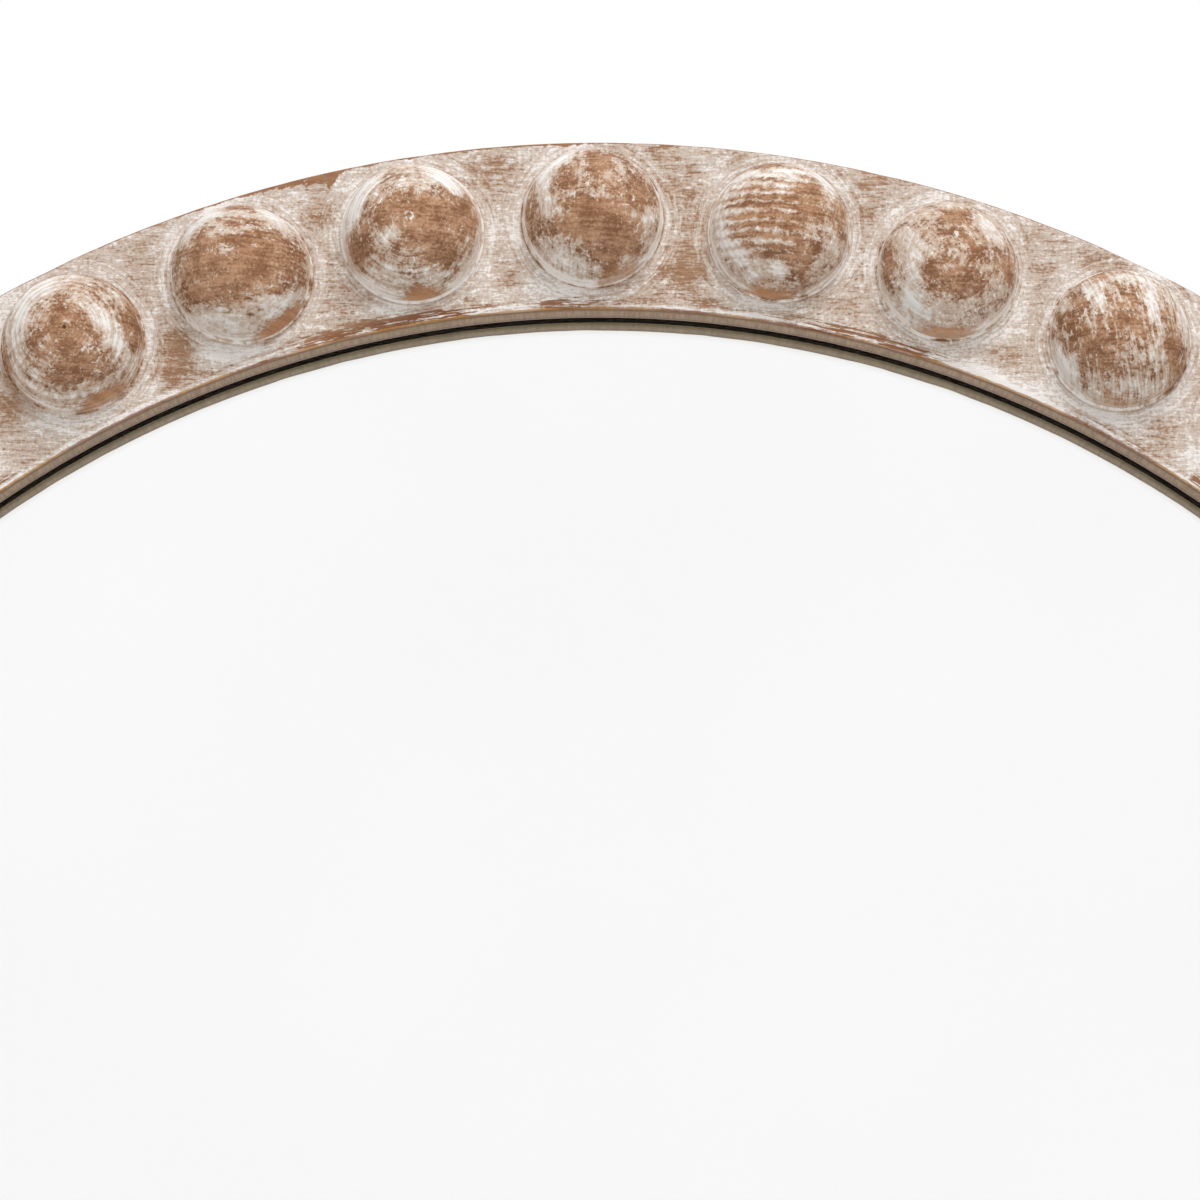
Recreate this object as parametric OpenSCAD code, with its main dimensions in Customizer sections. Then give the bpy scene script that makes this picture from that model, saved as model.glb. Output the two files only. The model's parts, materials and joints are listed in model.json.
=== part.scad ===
// Round wall mirror with turned half-ball bobbins on a flat wooden ring, in millimetres.
// It hangs upright in the XZ plane and faces -Y. The origin is the centre of its rear face, on the wall.
// Three glued and screwed rings make the frame. From the front they are the face that carries the bobbins,
// the ring whose pocket holds the glass and its board, and the ring that stands the mirror off the wall.

/* [Front ring] */
// Outside diameter of the mirror
mirror_d = 914; // [880:1:960]
// Width of the flat face, from the outer edge to the opening
face_w = 65.5; // [62:0.5:70]
// Thickness of the front ring
front_t = 13; // [12:0.5:18]
// Rounding of the front ring's worn edges
edge_r = 1; // [0.5:0.1:2]

/* [Bobbins] */
// Number of bobbins round the ring
bobbin_count = 39; // [30:1:41]
// Diameter of a bobbin's flat base
bobbin_d = 53; // [46:0.5:55]
// Height of a bobbin above the ring
bobbin_h = 26.5; // [20:0.5:28]
// Distance from the ring's outer edge to the bobbins
bobbin_margin = 4; // [2:0.5:6]
// Turn of the first bobbin from the top of the ring, in degrees
first_turn = -0.24; // [-4:0.02:4]
// Greatest drift of a hand-set bobbin from even spacing, in degrees
drift = 0.28; // [0:0.01:0.5]
// Diameter of the dowel that pins a bobbin to the ring
dowel_d = 8; // [6:0.5:10]
// Length of that dowel
dowel_l = 20; // [16:0.5:22]
// Depth of the dowel in the front ring
dowel_in_ring = 9; // [6:0.5:10]
// Room for glue round a dowel
glue_gap = 0.05; // [0.02:0.01:0.1]
// Room for glue past a dowel's ends
dowel_end_gap = 0.5; // [0.2:0.1:1]

/* [Glass and board] */
// Thickness of the mirror glass
glass_t = 6; // [5:0.5:8]
// Thickness of the backing board
board_t = 4; // [3:0.5:6]
// How far the pocket for the glass reaches out behind the front ring
pocket_lap = 9; // [7:0.5:10]
// Gap round the glass and the board in their pocket
pocket_gap = 1; // [0.5:0.1:2]

/* [Stand-off ring] */
// Thickness of the ring that stands the mirror off the wall
stand_off_t = 9; // [8:0.5:14]
// Width of that ring
stand_off_w = 15; // [12:0.5:16]
// How far it is set in from the outer edge
stand_off_inset = 7; // [4:0.5:8]

/* [Ring screws] */
// Number of screws that hold the three rings together
ring_screw_count = 12; // [6:1:16]
// Shank diameter of a ring screw
ring_screw_d = 4; // [3:0.1:4.5]
// Head diameter of a ring screw
ring_screw_head_d = 8; // [6:0.1:9]
// Depth of a ring screw's head below the rear face
ring_screw_sink = 0.4; // [0.2:0.1:1]
// How far a ring screw bites into the front ring
ring_screw_bite = 8; // [6:0.5:10]

/* [Small screws] */
// Shank diameter of the screws for the buttons and hangers
screw_d = 3.5; // [3:0.1:4]
// Head diameter of those screws
screw_head_d = 7.5; // [6:0.1:8]
// Height of those screws' heads
screw_head_h = 2.2; // [1.8:0.1:2.6]
// How far those screws bite into the pocket ring
screw_bite = 7; // [5:0.5:8]
// Room round every screw in its hole
screw_gap = 0.05; // [0.02:0.01:0.1]

/* [Turn buttons] */
// Number of turn buttons that hold the board in
button_count = 6; // [4:1:8]
// Reach of a turn button from its screw
button_reach = 26; // [24:0.5:28]
// Width of a turn button
button_w = 11; // [9:0.5:13]
// Thickness of a turn button
button_t = 1.6; // [1.2:0.1:2]
// Running gap under, over and round the screw in a turn button
button_gap = 0.2; // [0.15:0.05:0.3]

/* [Hangers] */
// Turn of each hanger from the top of the mirror, in degrees
hanger_turn = 60; // [50:1:70]
// Width of a hanger's strap
strap_w = 13; // [11:0.5:14]
// Thickness of a strap
strap_t = 1.2; // [1:0.1:1.6]
// Length of a strap from its knuckle to its rounded end
strap_l = 44; // [42:0.5:52]
// Distance from the knuckle to the first strap screw
strap_screw_from = 26; // [25:0.5:28]
// Distance between the two strap screws
strap_screw_gap = 12; // [9:0.5:13]
// Wire diameter of a hanger's ring
wire_d = 3.2; // [2.8:0.1:3.6]
// Width inside a hanger's ring
loop_w = 22; // [19:0.5:24]
// Radius of the bends beside the knuckle, to the middle of the wire
bend_r = 4; // [3:0.5:5]
// Distance from the knuckle's axis to the middle of the ring's round bow
bow_from = 5.5; // [5.5:0.5:7]
// Running gap round the wire in the knuckle
pin_gap = 0.3; // [0.2:0.05:0.4]

/* [Hidden] */
$fn = 96;
cut = 1;
outer_r = mirror_d / 2;
opening_r = outer_r - face_w;
pitch_r = outer_r - bobbin_margin - bobbin_d / 2;
pocket_r = opening_r + pocket_lap;
pane_r = pocket_r - pocket_gap;
stand_off_outer_r = outer_r - stand_off_inset;
stand_off_inner_r = stand_off_outer_r - stand_off_w;
ring_screw_r = (stand_off_outer_r + stand_off_inner_r) / 2;
ledge_r = (pocket_r + stand_off_inner_r) / 2;

// Heights above the wall, along the mirror's axis.
ledge_z = stand_off_t;
pocket_t = glass_t + board_t;
front_z = ledge_z + pocket_t;
face_z = front_z + front_t;
ring_screw_l = front_z + ring_screw_bite - ring_screw_sink;

// The hand-set drift has no order that the eye can find, so it swings by the square of a bobbin's number.
drift_swing = 96;
drift_phase = 115;
edge_steps = 6;
screw_tip_share = 0.8;
head_rim_share = 0.45;
wire_r = wire_d / 2;
knuckle_r = wire_r + pin_gap + strap_t;
bow_r = loop_w / 2 + wire_r;

function two_digits(i) = str(i < 10 ? "0" : "", i);
function bobbin_name(i) = str("bobbin_", two_digits(i));
function button_name(i) = str("turn_button_", i);
function bobbin_angle(i) =
    first_turn + (i - 1) * 360 / bobbin_count + drift * sin(drift_swing * i * i + drift_phase);
function button_angle(i) = (i - 0.5) * 360 / button_count;
function ring_screw_angle(i) = (i - 0.5) * 360 / ring_screw_count;
function arc(cx, cy, r, from, to) =
    [for (k = [0 : edge_steps]) let(a = from + (to - from) * k / edge_steps)
        [cx + r * cos(a), cy + r * sin(a)]];

// Turns the mirror's axis from +Z, as it is drawn lying on its back, to -Y, as it hangs.
module hang() {
    rotate([90, 0, 0]) children();
}

// Places a piece at a clockwise angle from the top, a radius from the axis and a height from the wall.
module around(angle, r, z) {
    rotate([0, 0, -angle]) translate([0, r, z]) children();
}

// Places hardware on the ledge behind the pocket ring: z points to the wall, and x is clockwise.
module on_ledge(angle) {
    around(angle, ledge_r, ledge_z) rotate([180, 0, 0]) children();
}

module flat_ring(outer, inner, z, t) {
    difference() {
        translate([0, 0, z]) cylinder(r = outer, h = t);
        translate([0, 0, z - cut]) cylinder(r = inner, h = t + 2 * cut);
    }
}

module rounded_ring() {
    rotate_extrude()
        polygon(concat(
            [[opening_r, front_z], [outer_r, front_z]],
            arc(outer_r - edge_r, face_z - edge_r, edge_r, 0, 90),
            arc(opening_r + edge_r, face_z - edge_r, edge_r, 90, 180)
        ));
}

// A countersunk screw along +Z, with its head's top at z = 0.
module countersunk_screw(l, gap = 0) {
    head_h = (ring_screw_head_d - ring_screw_d) / 2;
    cylinder(r1 = ring_screw_head_d / 2 + gap, r2 = ring_screw_d / 2 + gap, h = head_h);
    translate([0, 0, head_h - gap]) cylinder(d = ring_screw_d + 2 * gap, h = l - head_h - ring_screw_d);
    translate([0, 0, l - ring_screw_d - 2 * gap])
        cylinder(r1 = ring_screw_d / 2 + gap, r2 = gap, h = ring_screw_d + 2 * gap);
}

module ring_screw_hole() {
    countersunk_screw(ring_screw_l + screw_gap, screw_gap);
    translate([0, 0, -cut]) cylinder(d = ring_screw_head_d + 2 * screw_gap, h = cut + screw_gap);
}

module at_ring_screws() {
    for (i = [1 : ring_screw_count])
        around(ring_screw_angle(i), ring_screw_r, ring_screw_sink) children();
}

// A round-headed screw along -Z. Its head stands on z = 0, and its shank goes l below that.
module round_head_screw(l) {
    tip_l = screw_tip_share * screw_d;
    rim_h = head_rim_share * screw_head_h;
    cylinder(d = screw_head_d, h = rim_h);
    translate([0, 0, rim_h])
        cylinder(d1 = screw_head_d, d2 = screw_head_d / 2, h = screw_head_h - rim_h);
    translate([0, 0, tip_l - l]) cylinder(d = screw_d, h = l - tip_l);
    translate([0, 0, -l]) cylinder(d1 = screw_d / 4, d2 = screw_d, h = tip_l);
}

// The hole below z = 0 that such a screw bites into.
module pilot_hole() {
    translate([0, 0, -screw_bite - screw_gap]) cylinder(d = screw_d + 2 * screw_gap, h = screw_bite + cut);
}

module at_strap_screws() {
    for (x = [strap_screw_from, strap_screw_from + strap_screw_gap])
        translate([x - strap_l / 2, 0, 0]) children();
}

// Puts a piece where each hanger is, or only one of them: 1 is right and -1 is left, seen from the front.
module at_hanger(side) {
    mirror([side < 0 ? 1 : 0, 0, 0]) on_ledge(hanger_turn) children();
}

module front_ring() {
    color("#c9b8a8") hang() difference() {
        rounded_ring();
        for (i = [1 : bobbin_count])
            around(bobbin_angle(i), pitch_r, face_z - dowel_in_ring - dowel_end_gap)
                cylinder(d = dowel_d + 2 * glue_gap, h = dowel_in_ring + dowel_end_gap + cut);
        at_ring_screws() ring_screw_hole();
    }
}

module pocket_ring() {
    color("#9c7a5b") hang() difference() {
        flat_ring(outer_r, pocket_r, ledge_z, pocket_t);
        at_ring_screws() ring_screw_hole();
        for (i = [1 : button_count])
            on_ledge(button_angle(i)) pilot_hole();
        for (side = [-1, 1])
            at_hanger(side) at_strap_screws() pilot_hole();
    }
}

module stand_off_ring() {
    color("#8a6a4d") hang() difference() {
        flat_ring(stand_off_outer_r, stand_off_inner_r, 0, stand_off_t);
        at_ring_screws() ring_screw_hole();
    }
}

module mirror_glass() {
    color("#e8eeec") hang() translate([0, 0, ledge_z + board_t]) cylinder(r = pane_r, h = glass_t);
}

module backing_board() {
    color("#7d6247") hang() translate([0, 0, ledge_z]) cylinder(r = pane_r, h = board_t);
}

// A half ball, or a flatter dome of the same base if its height is less than the base's radius.
module bobbin(i) {
    ball_r = (pow(bobbin_d / 2, 2) + pow(bobbin_h, 2)) / (2 * bobbin_h);
    color("#b3835b") hang() around(bobbin_angle(i), pitch_r, face_z) difference() {
        intersection() {
            translate([0, 0, bobbin_h - ball_r]) sphere(r = ball_r);
            cylinder(r = ball_r + cut, h = bobbin_h + cut);
        }
        translate([0, 0, -cut])
            cylinder(d = dowel_d + 2 * glue_gap, h = dowel_l - dowel_in_ring + dowel_end_gap + cut);
    }
}

module bobbin_dowels() {
    color("#d8b98a") hang()
        for (i = [1 : bobbin_count])
            around(bobbin_angle(i), pitch_r, face_z - dowel_in_ring) cylinder(d = dowel_d, h = dowel_l);
}

module ring_screws() {
    color("#c8b36a") hang() at_ring_screws() countersunk_screw(ring_screw_l);
}

// A flat button with round ends. Its screw goes through one end, and it points at the mirror's middle.
module turn_button(i) {
    color("#b8bcc0") hang() on_ledge(button_angle(i)) translate([0, 0, button_gap]) difference() {
        union() {
            cylinder(d = button_w, h = button_t);
            translate([-button_w / 2, 0, 0]) cube([button_w, button_reach - button_w / 2, button_t]);
            translate([0, button_reach - button_w / 2, 0]) cylinder(d = button_w, h = button_t);
        }
        translate([0, 0, -cut]) cylinder(d = screw_d + 2 * button_gap, h = button_t + 2 * cut);
    }
}

module turn_button_screws() {
    head_z = button_t + 2 * button_gap;
    color("#c9ccd0") hang()
        for (i = [1 : button_count])
            on_ledge(button_angle(i)) translate([0, 0, head_z]) round_head_screw(screw_bite + head_z);
}

// A strap whose end is curled into a knuckle round the ring's straight bar.
module hanger_strap(side) {
    color("#b8bcc0") hang() at_hanger(side) difference() {
        union() {
            translate([-strap_l / 2, -strap_w / 2, 0]) cube([strap_l - strap_w / 2, strap_w, strap_t]);
            translate([strap_l / 2 - strap_w / 2, 0, 0]) cylinder(d = strap_w, h = strap_t);
            translate([-strap_l / 2, strap_w / 2, knuckle_r])
                rotate([90, 0, 0]) cylinder(r = knuckle_r, h = strap_w);
        }
        translate([-strap_l / 2, strap_w / 2 + cut, knuckle_r])
            rotate([90, 0, 0]) cylinder(r = wire_r + pin_gap, h = strap_w + 2 * cut);
        at_strap_screws() translate([0, 0, -cut])
            cylinder(d = screw_d + 2 * screw_gap, h = strap_t + 2 * cut);
    }
}

module hanger_strap_left() {
    hanger_strap(-1);
}

module hanger_strap_right() {
    hanger_strap(1);
}

// A quarter bend of the wire, from the bar at x = 0 to a leg along +X.
module wire_bend() {
    translate([bend_r, bow_r - bend_r, 0]) rotate([0, 0, 90])
        rotate_extrude(angle = 90) translate([bend_r, 0]) circle(r = wire_r);
}

module wire_leg() {
    translate([bend_r, bow_r, 0]) rotate([0, 90, 0]) cylinder(r = wire_r, h = bow_from - bend_r);
}

// A D-shaped ring that hangs down over its strap. Its straight bar turns in the knuckle.
module hanger_ring(side) {
    color("#d0d3d6") hang() at_hanger(side) translate([-strap_l / 2, 0, knuckle_r]) union() {
        translate([0, bow_r - bend_r, 0]) rotate([90, 0, 0])
            cylinder(r = wire_r, h = 2 * (bow_r - bend_r));
        for (m = [0, 1])
            mirror([0, m, 0]) {
                wire_bend();
                wire_leg();
            }
        translate([bow_from, 0, 0]) rotate([0, 0, -90])
            rotate_extrude(angle = 180) translate([bow_r, 0]) circle(r = wire_r);
    }
}

module hanger_ring_left() {
    hanger_ring(-1);
}

module hanger_ring_right() {
    hanger_ring(1);
}

module hanger_screws() {
    color("#c9ccd0") hang()
        for (side = [-1, 1])
            at_hanger(side) at_strap_screws() translate([0, 0, strap_t]) round_head_screw(screw_bite + strap_t);
}

front_ring();
pocket_ring();
stand_off_ring();
mirror_glass();
backing_board();
for (i = [1 : bobbin_count])
    bobbin(i);
bobbin_dowels();
ring_screws();
for (i = [1 : button_count])
    turn_button(i);
turn_button_screws();
hanger_strap_left();
hanger_strap_right();
hanger_ring_left();
hanger_ring_right();
hanger_screws();
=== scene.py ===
"""The looks of a round wall mirror whose whitewashed ring carries turned half-ball bobbins.

Everything is in metres. The mirror's axis is Y, its rear face lies at y = 0 and its glass faces -Y.
Angles are clockwise from the top, seen from the front.
"""

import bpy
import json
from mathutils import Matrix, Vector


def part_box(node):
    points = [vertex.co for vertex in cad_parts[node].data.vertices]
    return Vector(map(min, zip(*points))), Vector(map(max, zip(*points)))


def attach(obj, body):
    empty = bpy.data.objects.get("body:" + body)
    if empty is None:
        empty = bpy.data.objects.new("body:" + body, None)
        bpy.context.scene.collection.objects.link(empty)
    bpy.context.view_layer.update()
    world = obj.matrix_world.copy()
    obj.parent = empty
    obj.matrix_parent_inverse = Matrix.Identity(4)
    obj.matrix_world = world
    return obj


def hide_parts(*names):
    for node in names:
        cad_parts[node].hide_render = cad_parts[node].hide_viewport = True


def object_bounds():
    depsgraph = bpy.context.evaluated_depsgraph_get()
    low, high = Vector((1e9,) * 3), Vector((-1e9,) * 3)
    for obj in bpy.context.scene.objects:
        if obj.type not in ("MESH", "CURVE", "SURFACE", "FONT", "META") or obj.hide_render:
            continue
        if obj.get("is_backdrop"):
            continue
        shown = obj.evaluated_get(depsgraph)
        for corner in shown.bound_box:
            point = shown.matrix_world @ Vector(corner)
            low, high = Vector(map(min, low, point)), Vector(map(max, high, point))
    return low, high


bl_info = {
    "name": "Bobbin mirror",
    "version": (1, 0, 0),
    "blender": (4, 5, 0),
    "location": "View3D > Sidebar > Bobbin mirror",
    "description": "Builds a whitewashed bobbin mirror around its packed frame",
    "category": "Object",
}

import functools
import json
import math
import random
import re
from collections import namedtuple

import bmesh
import bpy
from bpy.props import FloatProperty, FloatVectorProperty, IntProperty, PointerProperty
from mathutils import Matrix, Vector, kdtree, noise

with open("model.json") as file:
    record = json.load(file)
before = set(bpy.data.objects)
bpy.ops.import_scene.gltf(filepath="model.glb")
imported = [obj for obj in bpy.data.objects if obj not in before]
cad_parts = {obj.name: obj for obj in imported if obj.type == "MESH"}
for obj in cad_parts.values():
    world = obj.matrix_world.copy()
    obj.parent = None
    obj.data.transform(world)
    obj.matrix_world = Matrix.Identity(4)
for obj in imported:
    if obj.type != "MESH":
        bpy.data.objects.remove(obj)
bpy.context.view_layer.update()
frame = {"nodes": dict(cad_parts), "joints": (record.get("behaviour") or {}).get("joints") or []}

MM = 0.001
ORIGIN = (0, 0, 0)
ALONG_Y = (0, 1, 0)
ALONG_Z = (0, 0, 1)
WEDGE_STEPS = 12
SCREW_STEPS = 32
HOLE_STEPS = 28
SMOOTH_UP_TO = math.radians(35)
FACETED_FROM = math.radians(18)
BOBBIN_SMOOTH_UP_TO = math.radians(50)
RIM_FROM = math.radians(60)
# Points of the ring screws that lie nearer than this belong to one screw.
SCREW_APART = 12 * MM
BOBBIN_NODES = sorted(n for n in frame["nodes"] if re.fullmatch(r"bobbin_\d\d", n))
BUTTON_NODES = sorted(n for n in frame["nodes"] if re.fullmatch(r"turn_button_\d+", n))
SIDES = {"left": -1, "right": 1}


# Places read from the frame

def disc(node):
    """The middle of a bobbin's foot, as (x, z), and the radius of the foot."""
    low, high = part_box(node)
    return Vector(((low.x + high.x) / 2, (low.z + high.z) / 2)), (high.x - low.x) / 2


def from_axis(point):
    """The distance of a place from the mirror's axis."""
    return math.hypot(point.x, point.z)


def angle_of(point):
    """The clockwise angle of a place from the top of the mirror."""
    return math.atan2(point.x, point.z)


def reach(node):
    """The smallest and the largest distance of a CAD node's points from the mirror's axis."""
    radii = [from_axis(v.co) for v in frame["nodes"][node].data.vertices]
    return min(radii), max(radii)


def joint_place(name):
    """Where a joint of the frame turns."""
    return next(j for j in frame["joints"] if j["name"] == name)["pos_m"]


def near_tree(points):
    """A tree of flat places (x, z), to find the near ones."""
    tree = kdtree.KDTree(len(points))
    for i, (x, z) in enumerate(points):
        tree.insert((x, 0, z), i)
    tree.balance()
    return tree


def ring_screw_places():
    """Where the ring screws stand: the middle of each group of points of their CAD node."""
    points = [v.co for v in frame["nodes"]["ring_screws"].data.vertices]
    tree = near_tree([(p.x, p.z) for p in points])
    left = set(range(len(points)))
    places = []
    while left:
        first = points[min(left)]
        found = [i for _, i, _ in tree.find_range((first.x, 0, first.z), SCREW_APART)]
        low = Vector([min(points[i][k] for i in found) for k in range(3)])
        high = Vector([max(points[i][k] for i in found) for k in range(3)])
        places.append((low + high) / 2)
        left -= set(found)
    return places


FRONT_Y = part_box("front_ring")[0].y
OPENING_R, OUTER_R = reach("front_ring")
MIDDLE_R = (OPENING_R + OUTER_R) / 2
LEDGE_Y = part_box("pocket_ring")[1].y
LEDGE_R = math.hypot(*joint_place("turn_button_1_turn")[::2])
FEET = {node: disc(node) for node in BOBBIN_NODES}
FOOT_R = FEET[BOBBIN_NODES[0]][1]


# Sizes and colours that a user would change

def size(name, description, default, unit="LENGTH"):
    """A size, an angle or a power."""
    return FloatProperty(name=name, description=description, default=default, unit=unit)


def count(name, description, default):
    """A number of steps."""
    return IntProperty(name=name, description=description, default=default)


def place_of(name, description, default):
    """A place in the scene."""
    return FloatVectorProperty(name=name, description=description, default=default, unit="LENGTH",
                               subtype="TRANSLATION")


def shade(name, description, red, green, blue):
    """A colour, given as it is displayed, from 0 to 255. It is kept as the linear one of a shader."""
    linear = tuple((c / 255) ** 2.2 for c in (red, green, blue))
    return FloatVectorProperty(name=name, description=description, default=linear, subtype="COLOR")


class RingSizes(bpy.types.PropertyGroup):
    """Sizes of the front board and of the wear on it."""

    steps: count("Steps", "Steps round the ring", 1080)
    face_steps: count("Face steps", "Steps across the flat face", 26)
    wall_steps: count("Wall steps", "Steps along each wall", 4)
    edge_r: size("Edge radius", "Rounding of the front edges", 1 * MM)
    edge_wear: size("Edge wear", "Depth of the dents along the front edges", 0.5 * MM)
    ripple: size("Ripple", "Depth of the hand-sanded ripple of the face", 0.06 * MM)


class BobbinSizes(bpy.types.PropertyGroup):
    """Sizes of the turned half balls."""

    steps: count("Steps", "Steps round a bobbin", 96)
    dome_steps: count("Dome steps", "Steps from a bobbin's base to its pin mark", 52)
    bead: size("Paint bead", "Width of the paint that fills the joint", 0.9 * MM)
    ridge: size("Lathe ridge", "Height of the ridges that the lathe left", 0.05 * MM)
    ridge_gap: size("Ridge gap", "Distance from one lathe ridge to the next", 2.7 * MM)
    sanding: size("Sanding", "Depth of the flats that hand sanding left", 0.22 * MM)
    pin_r: size("Pin mark", "Radius of the mark that the lathe's centre left", 0.8 * MM)
    bore_r: size("Bore radius", "Radius of the hole for the dowel", 4.05 * MM)
    bore_h: size("Bore depth", "Depth of the hole for the dowel", 11.5 * MM)


class BackSizes(bpy.types.PropertyGroup):
    """Sizes of the boards, the pane and the hardware behind the front board."""

    steps: count("Steps", "Steps round each board", 360)
    arris: size("Arris", "Softening of the boards' sawn edges", 0.6 * MM)
    silver_t: size("Silver", "Thickness of the silver and its backing paint", 0.1 * MM)
    ground: size("Ground edge", "Rounding of the pane's ground edge", 0.5 * MM)
    button_w: size("Button width", "Width of a turn button", 11 * MM)
    button_reach: size("Button reach", "Reach of a turn button from its screw", 26 * MM)
    button_t: size("Button thickness", "Thickness of a turn button", 1.6 * MM)
    button_gap: size("Button gap", "Running gap under and over a turn button", 0.2 * MM)
    screw_r: size("Screw radius", "Shank radius of the small screws", 1.75 * MM)
    head_r: size("Head radius", "Head radius of the small screws", 3.75 * MM)
    head_h: size("Head height", "Height of the small screws' heads", 2.2 * MM)
    screw_bite: size("Screw bite", "How far the small screws bite", 7 * MM)
    screw_pitch: size("Screw pitch", "Distance between the small screws' threads", 1.3 * MM)
    long_screw_r: size("Long screw radius", "Shank radius of the ring screws", 2 * MM)
    long_head_r: size("Long screw head", "Head radius of the ring screws", 4 * MM)
    screw_room: size("Screw room", "Room round a screw in its hole", 0.05 * MM)
    hanger_turn: size("Hanger turn", "Angle of each hanger from the top", math.radians(60), "ROTATION")
    strap_w: size("Strap width", "Width of a hanger's strap", 13 * MM)
    strap_t: size("Strap thickness", "Thickness of a strap", 1.2 * MM)
    strap_l: size("Strap length", "Length from the knuckle to the round end", 44 * MM)
    strap_screw_from: size("First strap screw", "Distance from the knuckle", 26 * MM)
    strap_screw_gap: size("Strap screw gap", "Distance between the two screws", 12 * MM)
    curl: size("Curl", "How far the strap's end is curled round", math.radians(318), "ROTATION")
    wire_r: size("Wire radius", "Wire radius of a hanger's ring", 1.6 * MM)
    knuckle_r: size("Knuckle radius", "Outer radius of a strap's knuckle", 3.1 * MM)
    loop_w: size("Loop width", "Width inside a hanger's ring", 22 * MM)
    bend_r: size("Bend radius", "Radius of the bends beside the knuckle", 4 * MM)
    bow_from: size("Bow distance", "Distance from the knuckle to the bow's middle", 5.5 * MM)


class Colours(bpy.types.PropertyGroup):
    """Colours of the finishes."""

    paint: shade("Paint", "Thick whitewash", 246, 241, 236)
    thin_paint: shade("Thin paint", "Whitewash that the wood shows through", 206, 186, 169)
    board_paint: shade("Board paint", "Thick whitewash on the front board", 244, 239, 235)
    thin_board_paint: shade("Thin board paint", "Thin whitewash on the front board", 199, 183, 170)
    wood: shade("Wood", "Bare wood of the front board", 178, 145, 118)
    dark_wood: shade("Dark wood", "Grain of the front board", 145, 109, 83)
    crown: shade("Crown", "Rubbed crown of a bobbin", 124, 84, 57)
    light_crown: shade("Light crown", "Light grain of a bobbin", 186, 144, 112)
    fresh: shade("Fresh wood", "Crescent that the brush missed", 206, 150, 108)
    rim: shade("Rim", "Worn rim of the front board", 142, 86, 52)
    gold: shade("Gold", "Fresh wood in the rim's worn stretches", 198, 146, 78)
    wall: shade("Wall", "Wall of the opening", 200, 175, 152)
    back: shade("Back boards", "Stained boards behind", 136, 103, 78)
    panel: shade("Backing panel", "Hardboard", 118, 86, 62)
    dowel: shade("Dowel", "Beech dowels", 214, 184, 142)
    silver: shade("Silver", "Mirror layer", 250, 250, 250)
    glass: shade("Glass", "Tint of the float glass", 254, 254, 254)
    edge_glass: shade("Edge glass", "Float glass near its edge", 184, 189, 160)
    zinc: shade("Zinc", "Bright zinc plate", 206, 209, 213)
    yellow_zinc: shade("Yellow zinc", "Yellow zinc plate", 212, 188, 122)
    nickel: shade("Nickel", "Nickel plate", 206, 200, 190)
    floor: shade("Floor", "Studio floor", 236, 235, 233)


class StageSizes(bpy.types.PropertyGroup):
    """Places of the camera and the lamps."""

    camera_far: size("Camera distance", "From the wall to the camera", 1.49)
    camera_h: size("Camera height", "Camera above the mirror's axis", 0.0)
    camera_pitch: size("Camera pitch", "How far the camera looks up", math.radians(10.85), "ROTATION")
    lens: size("Lens", "Focal length", 119.6, "CAMERA")
    key_place: place_of("Key place", "Place of the lamp above the front", (0.5, -1.9, 2.3))
    key_power: size("Key power", "Power of the lamp above the front", 47.0, "POWER")
    back_place: place_of("Back place", "Place of the lamp above the back", (-0.4, 1.9, 2.1))
    back_power: size("Back power", "Power of the lamp above the back", 26.0, "POWER")
    lamp_aim: place_of("Lamp aim", "What both lamps point at", (0, 0, 0.1))
    lamp_size: size("Lamp size", "Side of each lamp", 1.6)
    fill: size("Fill", "Strength of the soft light from all sides", 0.62, "NONE")
    floor_size: size("Floor size", "Side of the floor", 40.0)


class MirrorSettings(bpy.types.PropertyGroup):
    """All settings of the mirror."""

    ring: PointerProperty(type=RingSizes)
    bobbin: PointerProperty(type=BobbinSizes)
    behind: PointerProperty(type=BackSizes)
    colours: PointerProperty(type=Colours)
    stage: PointerProperty(type=StageSizes)


# Shader nodes

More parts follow.
